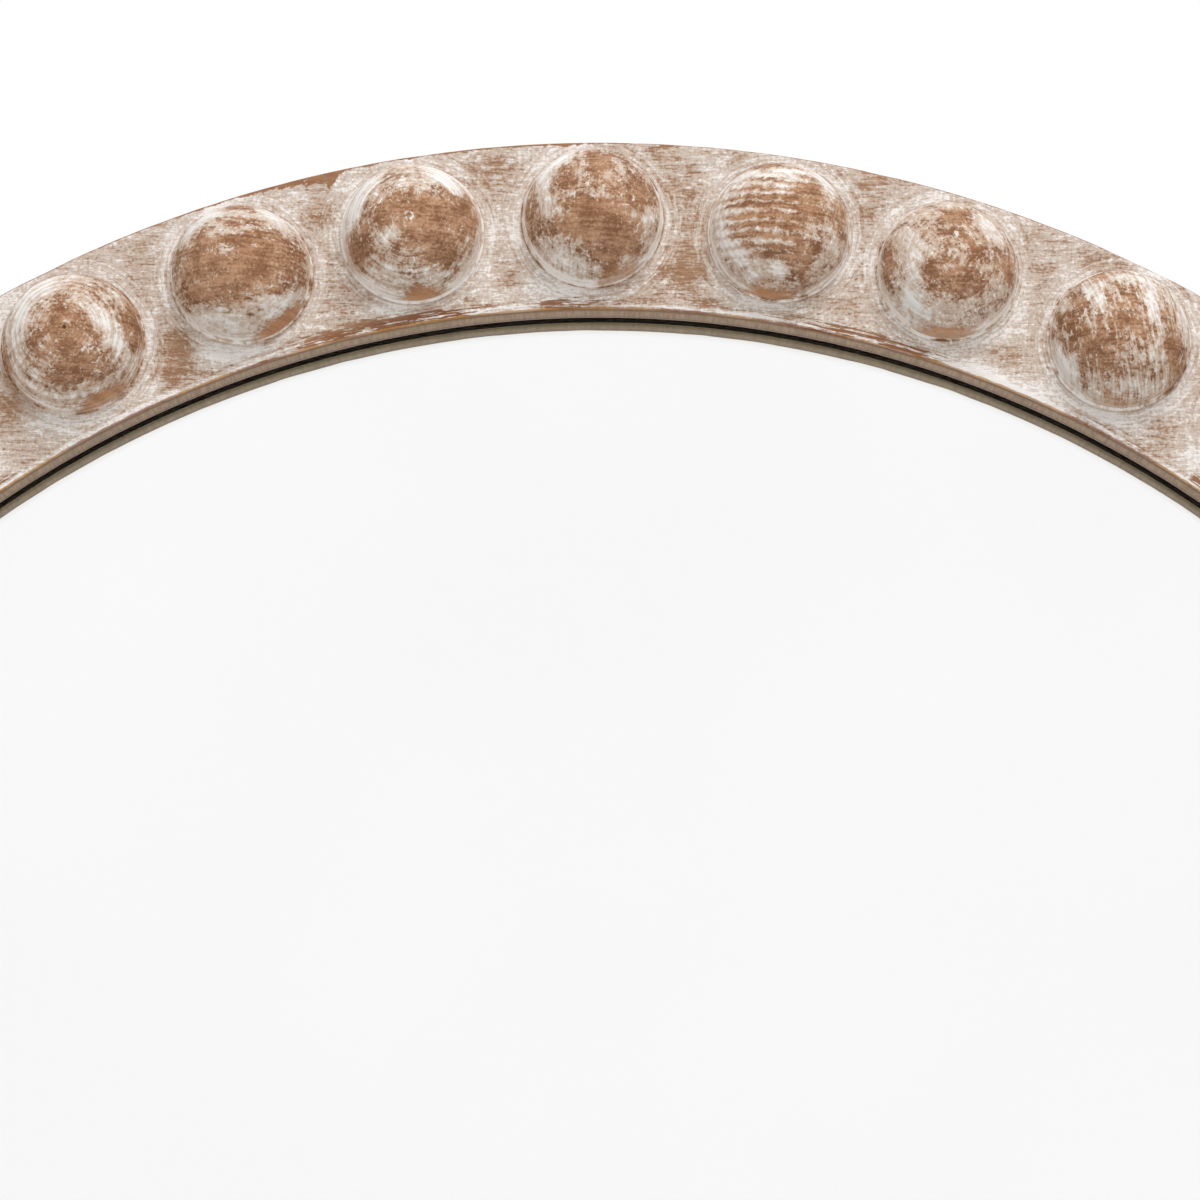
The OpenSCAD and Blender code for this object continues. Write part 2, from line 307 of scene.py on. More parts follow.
class Tree:
    """The nodes of one material or world, with a short call for each kind that is used here."""

    def __init__(self, owner):
        owner.use_nodes = True
        self.nodes = owner.node_tree.nodes
        self.links = owner.node_tree.links
        self.nodes.clear()

    def add(self, kind, **settings):
        node = self.nodes.new("ShaderNode" + kind)
        for name, value in settings.items():
            setattr(node, name, value)
        return node

    def put(self, socket, value):
        if isinstance(value, bpy.types.NodeSocket):
            self.links.new(value, socket)
        else:
            socket.default_value = value

    def fill(self, node, values):
        for name, value in values.items():
            self.put(node.inputs[name], value)
        return node

    def maths(self, operation, first, second=0.0, third=0.0):
        node = self.add("Math", operation=operation)
        for socket, value in zip(node.inputs, (first, second, third)):
            self.put(socket, value)
        return node.outputs[0]

    def plus(self, *values):
        return functools.reduce(lambda total, value: self.maths("ADD", total, value), values)

    def times(self, *values):
        return functools.reduce(lambda total, value: self.maths("MULTIPLY", total, value), values)

    def minus(self, first, second):
        return self.maths("SUBTRACT", first, second)

    def line(self, value, slope, start):
        """The start plus the value times the slope."""
        return self.maths("MULTIPLY_ADD", value, slope, start)

    def hypot(self, x, y):
        return self.maths("SQRT", self.line(x, x, self.times(y, y)))

    def mixed(self, *parts):
        """The sum of values, each times its share."""
        return self.plus(*[self.times(value, share) for value, share in parts])

    def about_zero(self, *parts):
        """The sum of noises of 0 to 1, each moved to lie about zero and given a strength."""
        return self.plus(*[self.line(value, strength, -strength / 2) for value, strength in parts])

    def step(self, value, low, high):
        """A smooth step from 0 at low to 1 at high. High may be the smaller one."""
        node = self.add("MapRange", interpolation_type="SMOOTHSTEP")
        self.fill(node, {"Value": value, "From Min": low, "From Max": high})
        return node.outputs["Result"]

    def blend(self, amount, first, second):
        node = self.add("Mix", data_type="RGBA")
        self.put(node.inputs[0], amount)
        for socket, value in ((node.inputs[6], first), (node.inputs[7], second)):
            self.put(socket, value if isinstance(value, bpy.types.NodeSocket) else (*value, 1))
        return node.outputs[2]

    def place(self):
        return self.add("TexCoord").outputs["Object"]

    def attribute(self, name, output="Fac"):
        return self.add("Attribute", attribute_name=name).outputs[output]

    def parts(self, vector):
        return self.fill(self.add("SeparateXYZ"), {0: vector}).outputs

    def joined(self, x, y, z):
        return self.fill(self.add("CombineXYZ"), {0: x, 1: y, 2: z}).outputs[0]

    def length(self, vector):
        return self.fill(self.add("VectorMath", operation="LENGTH"), {0: vector}).outputs["Value"]

    def stretch(self, vector, scale, turn=0.0):
        """Scales a place by three numbers, after a turn about Y."""
        node = self.add("Mapping", vector_type="TEXTURE")
        self.fill(node, {"Vector": vector, "Rotation": (0, turn, 0), "Scale": [1 / s for s in scale]})
        return node.outputs[0]

    def noise(self, vector, scale=1.0, detail=2.0, roughness=0.5, distortion=0.0):
        node = self.add("TexNoise")
        self.fill(node, {"Vector": vector, "Scale": scale, "Detail": detail, "Roughness": roughness,
                         "Distortion": distortion})
        return node.outputs[0]

    def bump(self, height, depth):
        """A bump whose height of 1 stands for a depth in metres."""
        node = self.fill(self.add("Bump"), {"Height": height, "Distance": depth, "Strength": 1.0})
        return node.outputs["Normal"]

    def seen(self):
        """1 for what the camera sees, also in metal and through glass, and 0 for light on surfaces."""
        path = self.add("LightPath").outputs
        return self.maths("MINIMUM", 1, self.plus(path["Is Camera Ray"], path["Is Glossy Ray"],
                                                  path["Is Transmission Ray"]))

    def principled(self, values):
        """Ends the tree in one Principled shader."""
        shader = self.fill(self.add("BsdfPrincipled"), values)
        self.links.new(shader.outputs[0], self.add("OutputMaterial").inputs["Surface"])


def toned(colour, share):
    """A darker or lighter tone of a colour."""
    return [c * share for c in colour]


# Finishes

def finish(fill):
    """Gives the material of a function that fills its tree. It is made once, under the function's name."""
    @functools.wraps(fill)
    def made(colours):
        look = bpy.data.materials.get(fill.__name__)
        if not look:
            look = bpy.data.materials.new(fill.__name__)
            fill(Tree(look), colours)
        return look
    return made


def whitewash(tree, thick, wood, thin, full):
    """The colour of paint of a given thickness on wood: bare up to 0.1, thin at 0.55 and full at 1."""
    thin = tree.blend(tree.step(thick, 0.10, 0.55), wood, thin)
    return tree.blend(tree.step(thick, 0.5, 1.0), thin, full)


@finish
def whitewashed_board(tree, colours):
    """Whitewash brushed along X on a brown board, rubbed thin, with worn rims and bare walls."""
    place = tree.place()
    x, y, z = tree.parts(place)
    radius = tree.hypot(x, z)
    inner_gap = tree.minus(radius, OPENING_R)
    outer_gap = tree.minus(OUTER_R, radius)
    depth = tree.minus(y, FRONT_Y)
    from_bobbin = tree.attribute("from_bobbin")
    load = tree.attribute("paint_load")
    bare = tree.attribute("edge_bare")

    streak = tree.noise(tree.stretch(place, (110, 110, 1000)), detail=4, roughness=0.7)
    line = tree.noise(tree.stretch(place, (330, 330, 2300)), detail=2, roughness=0.6)
    hatch = tree.noise(tree.stretch(place, (900, 300, 220)), detail=3, roughness=0.6, distortion=0.6)
    fleck = tree.noise(place, scale=900, detail=2, roughness=0.6)
    blot = tree.noise(place, scale=110, detail=3, roughness=0.65)
    dab = tree.noise(tree.stretch(place, (330, 330, 700)), detail=2, roughness=0.6)
    # Close to a bobbin the brush went round it.
    round_bobbin = tree.joined(tree.times(from_bobbin, 800), tree.times(x, 70), tree.times(z, 70))
    swirl = tree.noise(round_bobbin, detail=3, roughness=0.7, distortion=0.5)
    here = tree.noise(place, scale=42, detail=2)
    near = tree.step(tree.plus(from_bobbin, tree.about_zero((blot, 10 * MM), (here, 20 * MM))),
                     12.5 * MM, 3 * MM)
    straight = tree.line(near, -0.55, 1)
    # Chips that follow the edges: fine across the ring, long round it.
    round_ring = tree.joined(tree.times(x, 60), tree.times(radius, 1000), tree.times(z, 60))
    chip = tree.plus(tree.noise(round_ring, detail=3, roughness=0.7), tree.about_zero((blot, 0.4)))
    chips = tree.times(tree.step(chip, 0.47, 0.53), tree.step(inner_gap, 6.5 * MM, 2.5 * MM), bare)

    thick = tree.plus(load,
                      tree.times(straight, tree.about_zero((streak, 1.25), (line, 0.8))),
                      tree.times(near, tree.about_zero((swirl, 1.5))),
                      tree.about_zero((hatch, 0.4), (fleck, 0.9), (blot, 0.6)),
                      tree.mixed((chips, -1.5), (tree.step(dab, 0.56, 0.66), 0.25),
                                 (tree.step(inner_gap, 3.2 * MM, 1.2 * MM), 0.38)))
    grain = tree.mixed((streak, 0.4), (line, 0.35), (blot, 0.25))
    wood = tree.blend(tree.step(grain, 0.40, 0.60), colours.dark_wood, colours.wood)
    wood = tree.blend(tree.times(chips, 0.9), wood, toned(colours.rim, 0.8))
    full = tree.blend(tree.step(line, 0.35, 0.65), toned(colours.board_paint, 0.88), colours.board_paint)
    face = whitewash(tree, thick, wood, colours.thin_board_paint, full)
    # Painted shade: a contact shadow darkens the corner at a bobbin's bead, broken up in blots.
    corner = tree.times(tree.step(from_bobbin, 1.8 * MM, 1 * MM), tree.step(blot, 0.35, 0.65), 0.45)
    face = tree.blend(corner, face, colours.dark_wood)

    # The worn rims: bare dark wood, with fresh wood in stretches.
    stretch = tree.noise(place, scale=24, detail=2)
    rag = tree.about_zero((tree.noise(place, scale=230, detail=4, roughness=0.7), 1.0))
    gold = tree.blend(tree.step(stretch, 0.42, 0.54), colours.rim, colours.gold)
    inner_rim = tree.step(tree.plus(inner_gap, tree.times(rag, 1.4 * MM)), 0.9 * MM, 0.5 * MM)
    outer_width = tree.times(bare, tree.plus(2.2 * MM, tree.times(rag, 9 * MM)))
    outer_rim = tree.step(tree.minus(outer_gap, outer_width), 0.3 * MM, 0.0)
    face = tree.blend(tree.times(inner_rim, 0.75), face, gold)
    half_worn = [(a + b) / 2 for a, b in zip(colours.rim, colours.dark_wood)]
    worn = tree.blend(tree.step(streak, 0.38, 0.62), half_worn, toned(colours.dark_wood, 1.15))
    face = tree.blend(outer_rim, face, worn)

    # The opening's wall: sawn wood with fine lines across it, darker at both edges.
    across = tree.noise(tree.stretch(place, (900, 90, 900)), detail=2)
    inner_wall = tree.blend(tree.step(across, 0.3, 0.7), toned(colours.wall, 0.78), toned(colours.wall, 1.1))
    inner_wall = tree.blend(tree.times(tree.step(depth, 5 * MM, 1.5 * MM), 0.8), inner_wall,
                            colours.dark_wood)
    inner_wall = tree.blend(tree.times(tree.step(depth, 9.8 * MM, 12 * MM), 0.5), inner_wall,
                            toned(colours.rim, 1.1))
    # The outer wall has some paint on it.
    smear = tree.mixed((blot, 0.5), (across, 0.3), (fleck, 0.2))
    outer_wood = tree.blend(tree.step(across, 0.35, 0.65), colours.dark_wood, colours.wood)
    outer_wall = tree.blend(tree.times(tree.step(smear, 0.40, 0.60), 0.5), outer_wood,
                            colours.thin_board_paint)
    wall = tree.blend(tree.step(radius, OPENING_R + 10 * MM, OUTER_R - 10 * MM), inner_wall, outer_wall)
    # Behind the edge, where only the glass shows it, a pale strip along the opening is painted light,
    # standing for light that reaches the rear face through the glass; further out the rear face is dark rim
    # wood.
    rear_face_painted_light = tree.blend(tree.step(inner_gap, 0.8 * MM, 1.3 * MM), colours.board_paint,
                       toned(colours.rim, 0.8))
    behind = tree.times(tree.step(depth, 12.4 * MM, 12.8 * MM), tree.step(inner_gap, 6 * MM, 4 * MM))
    wall = tree.blend(behind, wall, rear_face_painted_light)

    height = tree.mixed((thick, 0.5), (streak, 0.6), (fleck, 0.3))
    tree.principled({"Base Color": tree.blend(tree.step(depth, 0.8 * MM, 1.2 * MM), face, wall),
                     "Roughness": tree.line(streak, 0.2, 0.6), "Specular IOR Level": 0.35,
                     "Normal": tree.bump(height, 0.2 * MM)})


@finish
def rubbed_bobbin(tree, colours):
    """A turned half ball, whitewashed and rubbed back to brown on its crown."""
    load = tree.attribute("paint_load")
    u, v, h = tree.parts(tree.attribute("turned_place", "Vector"))
    along, across, seed = tree.parts(tree.attribute("brushed_place", "Vector"))
    missed_u, missed_v, missed = tree.parts(tree.attribute("missed_place", "Vector"))
    ripples, rings, streaks = tree.parts(tree.attribute("finish_mix", "Vector"))
    pin_mark = tree.attribute("pin_mark")
    share = tree.times(tree.hypot(u, v), 1 / FOOT_R)
    own_seed = tree.times(seed, 60)

    # Every pattern is read at the bobbin's own seed, so that no two are alike.
    own = tree.joined(along, across, tree.plus(h, seed))
    blot = tree.noise(own, scale=120, detail=5, roughness=0.7)
    patch = tree.noise(own, scale=340, detail=4, roughness=0.7)
    fleck = tree.noise(own, scale=950, detail=2, roughness=0.6)
    stroke = tree.noise(tree.joined(tree.times(along, 120), tree.times(across, 700), own_seed),
                        detail=3, roughness=0.65, distortion=0.5)
    ring = tree.noise(tree.joined(tree.times(share, 26), tree.times(blot, 1.2), own_seed),
                      detail=3, roughness=0.7)
    # Hairline scratches are where a loose noise passes its middle.
    loose = tree.noise(own, scale=210, detail=1, distortion=0.6)
    hair = tree.times(tree.step(tree.maths("ABSOLUTE", tree.plus(loose, -0.5)), 0.022, 0.006),
                      tree.step(patch, 0.46, 0.58))
    ripple = tree.maths("SINE", tree.mixed((across, math.tau / (3.7 * MM)), (blot, 7), (loose, 5)))
    # The lathe's centre is in a ring of paint.
    pin_ring = tree.times(tree.step(share, 0.032, 0.044), tree.step(share, 0.084, 0.066), rings,
                          tree.step(fleck, 0.35, 0.55), tree.line(pin_mark, -0.8, 0.8))
    # The rag reached the crown and stopped short of the foot, where the paint is smooth and thin.
    foot = tree.step(tree.plus(h, tree.about_zero((blot, 5 * MM))), 8.5 * MM, 5 * MM)

    worked = tree.plus(tree.about_zero((blot, 1.6), (patch, 1.3), (fleck, 0.7)),
                       tree.times(streaks, tree.about_zero((stroke, 2.6))),
                       tree.times(rings, tree.about_zero((ring, 2.2))),
                       tree.times(ripples, ripple, 0.42),
                       tree.times(hair, 0.45), pin_ring)
    thick = tree.plus(load, tree.times(worked, tree.line(foot, -0.6, 1.0)),
                      tree.times(foot, tree.plus(0.18, tree.about_zero((ring, 2.8), (blot, 1.0)))))
    # The brush missed a crescent low on the flank, and left a rim of paint in the joint.
    facing = tree.plus(tree.times(u, missed_u), tree.times(v, missed_v))
    sideways = tree.minus(tree.times(v, missed_u), tree.times(u, missed_v))
    away = tree.plus(tree.hypot(sideways, tree.times(h, 1 / (11.5 * MM))),
                     tree.about_zero((patch, 0.9), (blot, 0.4), (fleck, 0.5)))
    above_bead = tree.step(tree.plus(h, tree.about_zero((blot, 1.5 * MM))), 1 * MM, 2 * MM)
    crescent = tree.times(tree.step(away, 1.35, 0.65), tree.step(facing, 0, 0.1), above_bead, missed)
    bead = tree.step(h, 1.6 * MM, 0.8 * MM)
    thick = tree.plus(tree.times(thick, tree.line(crescent, -0.9, 1)),
                      tree.times(bead, tree.plus(0.02, tree.about_zero((blot, 2.4)))))

    grain_place = tree.joined(tree.times(u, 90), tree.times(v, 900), own_seed)
    grain = tree.noise(grain_place, detail=3, roughness=0.6)
    tone = tree.mixed((grain, 0.3), (blot, 0.45), (fleck, 0.25))
    wood = tree.blend(tree.step(tone, 0.40, 0.60), colours.crown, colours.light_crown)
    fresh = tree.blend(tree.step(grain, 0.3, 0.7), toned(colours.fresh, 0.72), colours.fresh)
    wood = tree.blend(tree.times(crescent, 0.8), wood, fresh)
    full = tree.blend(tree.step(ring, 0.38, 0.62), toned(colours.paint, 0.82), colours.paint)
    painted = whitewash(tree, thick, wood, colours.thin_paint, full)
    pin = tree.times(tree.step(share, 0.036, 0.02), pin_mark)

    height = tree.mixed((thick, 0.6), (fleck, 0.2))
    tree.principled({"Base Color": tree.blend(pin, painted, toned(colours.crown, 0.3)),
                     "Roughness": tree.line(patch, 0.25, 0.48), "Specular IOR Level": 0.4,
                     "Normal": tree.bump(height, 0.16 * MM)})


@finish
def stained_board(tree, colours):
    """Sawn and stained board: long grain along X, and saw marks on the edges."""
    place = tree.place()
    band = tree.noise(tree.stretch(place, (5, 30, 110)), detail=6, roughness=0.62, distortion=0.5)
    fibre = tree.noise(tree.stretch(place, (35, 300, 1200)), detail=4, roughness=0.65)
    pore = tree.noise(tree.stretch(place, (140, 700, 2600)), detail=1)
    blot = tree.noise(place, scale=14, detail=4)
    tone = tree.mixed((band, 0.5), (fibre, 0.35), (blot, 0.15))
    stain = tree.blend(tree.step(tone, 0.38, 0.62), toned(colours.back, 0.6), toned(colours.back, 1.35))
    pores = tree.step(pore, 0.36, 0.26)
    height = tree.plus(band, tree.times(fibre, 0.6), tree.times(pores, -0.6))
    tree.principled({"Base Color": tree.blend(tree.times(pores, 0.7), stain, toned(colours.back, 0.35)),
                     "Roughness": tree.line(fibre, 0.25, 0.55), "Specular IOR Level": 0.3,
                     "Normal": tree.bump(height, 0.2 * MM)})


@finish
def hardboard(tree, colours):
    """Pressed hardboard: short fibres, and the screen's mark on the back."""
    place = tree.place()
    x, _, z = tree.parts(place)
    layers = [tree.noise(tree.stretch(place, (180, 400, 900), turn=turn), detail=3, roughness=0.7)
              for turn in (0.2, 1.3, 2.3)]
    fibres = tree.times(tree.plus(*layers), 1 / 3)
    tone = tree.mixed((fibres, 0.85), (tree.noise(place, scale=9, detail=5), 0.15))
    panel = tree.blend(tree.step(tone, 0.42, 0.58), toned(colours.panel, 0.7), toned(colours.panel, 1.3))
    screen_gap = 1.6 * MM
    screen = tree.times(*[tree.maths("SINE", tree.times(way, math.tau / screen_gap)) for way in (x, z)])
    height = tree.mixed((screen, 0.5), (fibres, 3))
    tree.principled({"Base Color": panel, "Roughness": 0.75, "Specular IOR Level": 0.25,
                     "Normal": tree.bump(height, 0.12 * MM)})


@finish
def dowel_beech(tree, colours):
    """Pale beech with short dark flecks along the dowel."""
    fleck = tree.noise(tree.stretch(tree.place(), (1400, 160, 1400)), detail=3)
    beech = tree.blend(tree.step(fleck, 0.35, 0.65), toned(colours.dowel, 0.75), colours.dowel)
    tree.principled({"Base Color": beech, "Roughness": 0.65, "Normal": tree.bump(fleck, 0.1 * MM)})


@finish
def float_glass(tree, colours):
    """Clear float glass, greener near its edge."""
    x, _, z = tree.parts(tree.place())
    near_edge = tree.step(tree.hypot(x, z), OPENING_R - 5.2 * MM, OPENING_R - 0.6 * MM)
    tree.principled({"Base Color": tree.blend(near_edge, colours.glass, colours.edge_glass),
                     "Roughness": 0.0, "IOR": 1.52, "Transmission Weight": 1.0})


@finish
def silvering(tree, colours):
    """The silver behind the glass, with the faintest unevenness."""
    cloud = tree.noise(tree.place(), scale=5, detail=2)
    silver = tree.blend(tree.step(cloud, 0.3, 0.7), toned(colours.silver, 0.985), colours.silver)
    tree.principled({"Base Color": silver, "Roughness": 0.0, "Metallic": 1.0})


def plate_metal(tree, colour, roughness, brush):
    """Plated metal: cloudy plate, and fine lines of a given scale along X."""
    place = tree.place()
    cloud = tree.noise(place, scale=320, detail=3, roughness=0.6)
    lines = tree.noise(tree.stretch(place, brush), detail=2)
    tone = tree.mixed((cloud, 0.7), (lines, 0.3))
    tree.principled({"Base Color": tree.blend(tree.step(tone, 0.35, 0.65), toned(colour, 0.8), colour),
                     "Metallic": 1.0, "Roughness": tree.line(tone, 0.3, roughness - 0.12),
                     "Normal": tree.bump(lines, 0.03 * MM)})


@finish
def bright_zinc(tree, colours):
    """Bright zinc on screws."""
    plate_metal(tree, colours.zinc, 0.3, (300, 300, 3000))


@finish
def pressed_zinc(tree, colours):
    """Bright zinc on pressed sheet, with the marks of its rolling."""
    plate_metal(tree, colours.zinc, 0.4, (120, 120, 2200))


@finish
def yellow_zinc(tree, colours):
    """Yellow zinc on screws."""
    plate_metal(tree, colours.yellow_zinc, 0.34, (300, 300, 3000))


@finish
def nickel_wire(tree, colours):
    """Nickel on drawn wire."""
    plate_metal(tree, colours.nickel, 0.2, (900, 900, 900))


@finish
def studio_floor(tree, colours):
    """A pale floor. What the eye, metal and glass see of it is paled, and far off it is white like the sky.
    What lights the object isn't."""
    far = tree.step(tree.length(tree.place()), 0.8, 3.5)
    paled = tree.times(tree.seen(), tree.line(far, 0.6, 0.4))
    tree.principled({"Base Color": tree.blend(paled, colours.floor, (0, 0, 0)),
                     "Roughness": 0.8, "Specular IOR Level": 0.0,
                     "Emission Color": (1, 1, 1, 1), "Emission Strength": paled})


# Meshes

def as_mesh(bm, name):
    """A new mesh with a bmesh's shape. The bmesh is used up."""
    mesh = bpy.data.meshes.new(name)
    bm.to_mesh(mesh)
    bm.free()
    return mesh


def take_in(bm, other):
    """Adds another bmesh's shape to this one. The other is used up."""
    mesh = as_mesh(other, "taken_in")
    bm.from_mesh(mesh)
    bpy.data.meshes.remove(mesh)


def copies(bm, matrices):
    """One bmesh that holds a shape at each of several places."""
    result = bmesh.new()
    for matrix in matrices:
        placed = bm.copy()
        placed.transform(matrix)
        take_in(result, placed)
    bm.free()
    return result


def add_object(name, data):
    """A new object in the scene."""
    made = bpy.data.objects.new(name, data)
    bpy.context.scene.collection.objects.link(made)
    return made


def piece_from(bm, name, body, look, nodes=(), sharp=SMOOTH_UP_TO):
    """Makes a finished piece of a bmesh: it rides on a body, and may stand for CAD nodes."""
    bmesh.ops.recalc_face_normals(bm, faces=bm.faces)
    mesh = as_mesh(bm, name)
    mesh.materials.append(look)
    mesh.shade_smooth()
    mesh.set_sharp_from_angle(angle=sharp)
    piece = add_object(name, mesh)
    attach(piece, body)
    if nodes:
        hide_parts(*nodes)
    return piece


def spun(profile, steps, closed=False):
    """Points (radius, y) turned all the way round the mirror's axis. A closed profile ends at its start."""
    bm = bmesh.new()
    points = [bm.verts.new((r, y, 0)) for r, y in profile]
    ends = points[1:] + (points[:1] if closed else [])
    edges = [bm.edges.new(pair) for pair in zip(points, ends)]
    wedges = steps // WEDGE_STEPS
    if wedges < 3:
        bmesh.ops.spin(bm, geom=points + edges, cent=ORIGIN, axis=ALONG_Y, dvec=ORIGIN, angle=math.tau,
                       steps=steps, use_merge=True, use_duplicate=False)
    else:
        bmesh.ops.spin(bm, geom=points + edges, cent=ORIGIN, axis=ALONG_Y, dvec=ORIGIN,
                       angle=math.tau / wedges, steps=WEDGE_STEPS, use_merge=False, use_duplicate=False)
        bm = copies(bm, [Matrix.Rotation(math.tau * k / wedges, 4, "Y") for k in range(wedges)])
    bmesh.ops.remove_doubles(bm, verts=bm.verts, dist=0.001 * MM)
    return bm


def arc(centre, radius, start, end, steps):
    """Points of an arc between two angles in degrees."""
    angles = [math.radians(start + (end - start) * k / steps) for k in range(steps + 1)]
    return [(centre[0] + radius * math.cos(a), centre[1] + radius * math.sin(a)) for a in angles]


def line(start, end, steps):
    """Points between two points, without the two."""
    return [tuple(s + (e - s) * k / steps for s, e in zip(start, end)) for k in range(1, steps)]


def soft_rim(outer, front, back, r):
    """The outer side of a board's profile, from its front to its back, with softened edges."""
    return ([(outer - 2 * r, front)] + arc((outer - r, front + r), r, 270, 360, 3)
            + arc((outer - r, back - r), r, 0, 90, 3) + [(outer - 2 * r, back)])


def soft_ring(inner, outer, front, back, r):
    """The profile of a flat ring with its four edges softened. Front is the lower y."""
    return (arc((inner + r, front + r), r, 180, 270, 3) + [(inner + 2 * r, front)]
            + soft_rim(outer, front, back, r)
            + [(inner + 2 * r, back)] + arc((inner + r, back - r), r, 90, 180, 3))


def cut_away(bm, cutters):
    """Takes closed shapes out of another one, and gives what is left."""
    blocks = []
    for source in (bm, cutters):
        bmesh.ops.recalc_face_normals(source, faces=source.faces)
        blocks.append(add_object("cutting", as_mesh(source, "cutting")))
    kept, tool = blocks
    cut = kept.modifiers.new("cut", "BOOLEAN")
    cut.operation = "DIFFERENCE"
    cut.solver = "EXACT"
    cut.object = tool
    bpy.context.view_layer.update()
    left = bpy.data.meshes.new_from_object(kept.evaluated_get(bpy.context.evaluated_depsgraph_get()))
    result = bmesh.new()
    result.from_mesh(left)
    bpy.data.meshes.remove(left)
    if not result.faces:
        raise RuntimeError("A cut left nothing of its shape")
    for block in blocks:
        mesh = block.data
        bpy.data.objects.remove(block)
        bpy.data.meshes.remove(mesh)
    return result


def of_kind(geom, kind):
    """The vertices, edges or faces in what a bmesh operator gives."""
    return [g for g in geom if isinstance(g, kind)]


def plate(outline, thickness, holes=()):
    """A flat plate above z = 0: an outline, with round holes (x, y, radius) through it."""
    bm = bmesh.new()
    rims = [outline] + [arc((x, y), r, 0, 360, HOLE_STEPS)[:-1] for x, y, r in holes]
    for rim in rims:
        points = [bm.verts.new((x, y, 0)) for x, y in rim]
        for pair in zip(points, points[1:] + points[:1]):
            bm.edges.new(pair)
    bmesh.ops.triangle_fill(bm, use_beauty=True, use_dissolve=False, edges=bm.edges)
    grown = bmesh.ops.extrude_face_region(bm, geom=bm.faces[:])
    bmesh.ops.translate(bm, verts=of_kind(grown["geom"], bmesh.types.BMVert), vec=(0, 0, thickness))
    bmesh.ops.recalc_face_normals(bm, faces=bm.faces)
    return bm


def round_rims(bm, width, keep=lambda edge: True):
    """Bevels the edges where a plate's faces meet its sides."""
    rims = [e for e in bm.edges if e.is_manifold and e.calc_face_angle() > RIM_FROM and keep(e)]
    bmesh.ops.bevel(bm, geom=rims, offset=width, segments=2, profile=0.5, affect="EDGES", material=-1)


def on_ledge(angle, side=1):
    """Where hardware sits on the ledge behind the pocket ring: x is clockwise, y is to the mirror's middle
    and z is to the wall. Side -1 is its mirror image."""
    s, c = math.sin(angle), math.cos(angle)
    place = Matrix(((c, -s, 0, s * LEDGE_R), (0, 0, 1, LEDGE_Y), (-s, -c, 0, c * LEDGE_R), (0, 0, 0, 1)))
    return Matrix.Diagonal((side, 1, 1, 1)) @ place


# The front board

# Ovals where the whitewash is heavy (above 0) or rubbed off (below 0): the middle's x and z, the half
# length along X and along Z, a turn in degrees, all in millimetres, and the amount.
HAND_PATCHES = (
    (-226, 386, 6, 12, 0, 0.70), (-226, 328, 8, 8, 0, 0.40), (-221, 355, 7, 14, 0, -0.60),
    (-206, 347, 13, 9, 0, 0.45), (-178, 350, 16, 4, 27, 0.35), (-174, 406, 8, 14, 0, -0.28),
    (-160, 372, 8, 12, 0, -0.75), (-169, 360, 5, 4, 0, 0.60), (-151, 422, 8, 5, 30, 0.30),
    (-141, 374, 10, 5, 0, 0.90), (-137, 366, 14, 2.5, 22, -0.40), (-105, 429, 6, 10, 0, -0.35),
    (-97, 439, 5, 7, 0, 0.30), (-92, 382, 11, 3, 14, -0.35), (-82, 391, 14, 3, 12, 0.70),
    (-40, 442, 12, 8, 0, -0.35), (-36, 419, 6, 11, 0, 0.15), (-35, 403, 7, 4, 0, -0.30),
    (-35, 392, 12, 3, 8, 0.35), (-13, 398, 9, 4, 0, 0.40), (16, 452, 12, 4, 0, -0.30),
    (27, 440, 7, 8, 0, -0.35), (37, 424, 8, 16, 0, -0.55), (30, 405, 14, 5, 0, -0.20),
    (42, 395, 8, 3, 0, -0.30), (63, 393, 11, 4, -5, 0.30), (91, 438, 5, 6, 0, 0.35),
    (101, 430, 5, 11, 0, -0.38), (95, 410, 5, 11, 0, 0.15), (89, 394, 13, 5, -5, -0.38),
    (92, 385, 10, 3, -13, 0.55), (108, 444, 15, 4, -14, -0.20), (155, 373, 10, 4, -12, -0.50),
    (158, 389, 3, 12, -25, 0.40), (169, 407, 8, 5, 0, -0.38), (188, 409, 10, 5, -25, -0.35),
    (166, 382, 5, 10, 0, -0.20), (150, 364, 26, 4, -23, 0.95), (194, 346, 20, 5, -27, 0.60),
    (219, 350, 8, 5, 0, 0.35), (211, 341, 6, 8, 0, -0.38), (226, 328, 8, 6, 0, 0.40),
)
# How bare the edges are at angles from the top: 0 is painted, 1 is bare, and above 1 the bare band is wider.
HAND_OUTER_EDGE = ((-34, 0.15), (-22, 0.2), (-18, 0.35), (-16, 0.7), (-14.5, 1.4), (-13, 1.8), (-12.5, 0.4),
                   (-11, 0.3), (-4, 0.35), (-2, 0.5), (0, 0.35), (2, 0.12), (34, 0.12))
HAND_INNER_EDGE = ((-34, 0.1), (-18, 0.15), (-15, 0.8), (-8, 1.0), (-6.5, 0.35), (-4, 0.3), (-2.8, 0.7),
                   (-1, 0.6), (0.5, 0.25), (3, 0.15), (10, 0.25), (12.5, 0.7), (18, 0.8), (20, 0.1),
                   (26, 0.1), (28, 0.4), (30.5, 0.4), (32, 0.1), (34, 0.1))
# The part of the ring whose paint and edges are listed one by one, in degrees either way from the top.
HAND_REACH = 34
PATCHES_ELSEWHERE = 80
PATCH_SEED = 11
# How far from the mirror's axis they are drawn, in millimetres.
PATCH_RADII = (394, 455)
# How far from its middle a patch is looked at, in metres and in half lengths squared.
PATCH_REACH = 45 * MM
PATCH_END = 6
# How wide the dented band is along each front edge.
DENT_BAND = 3 * MM


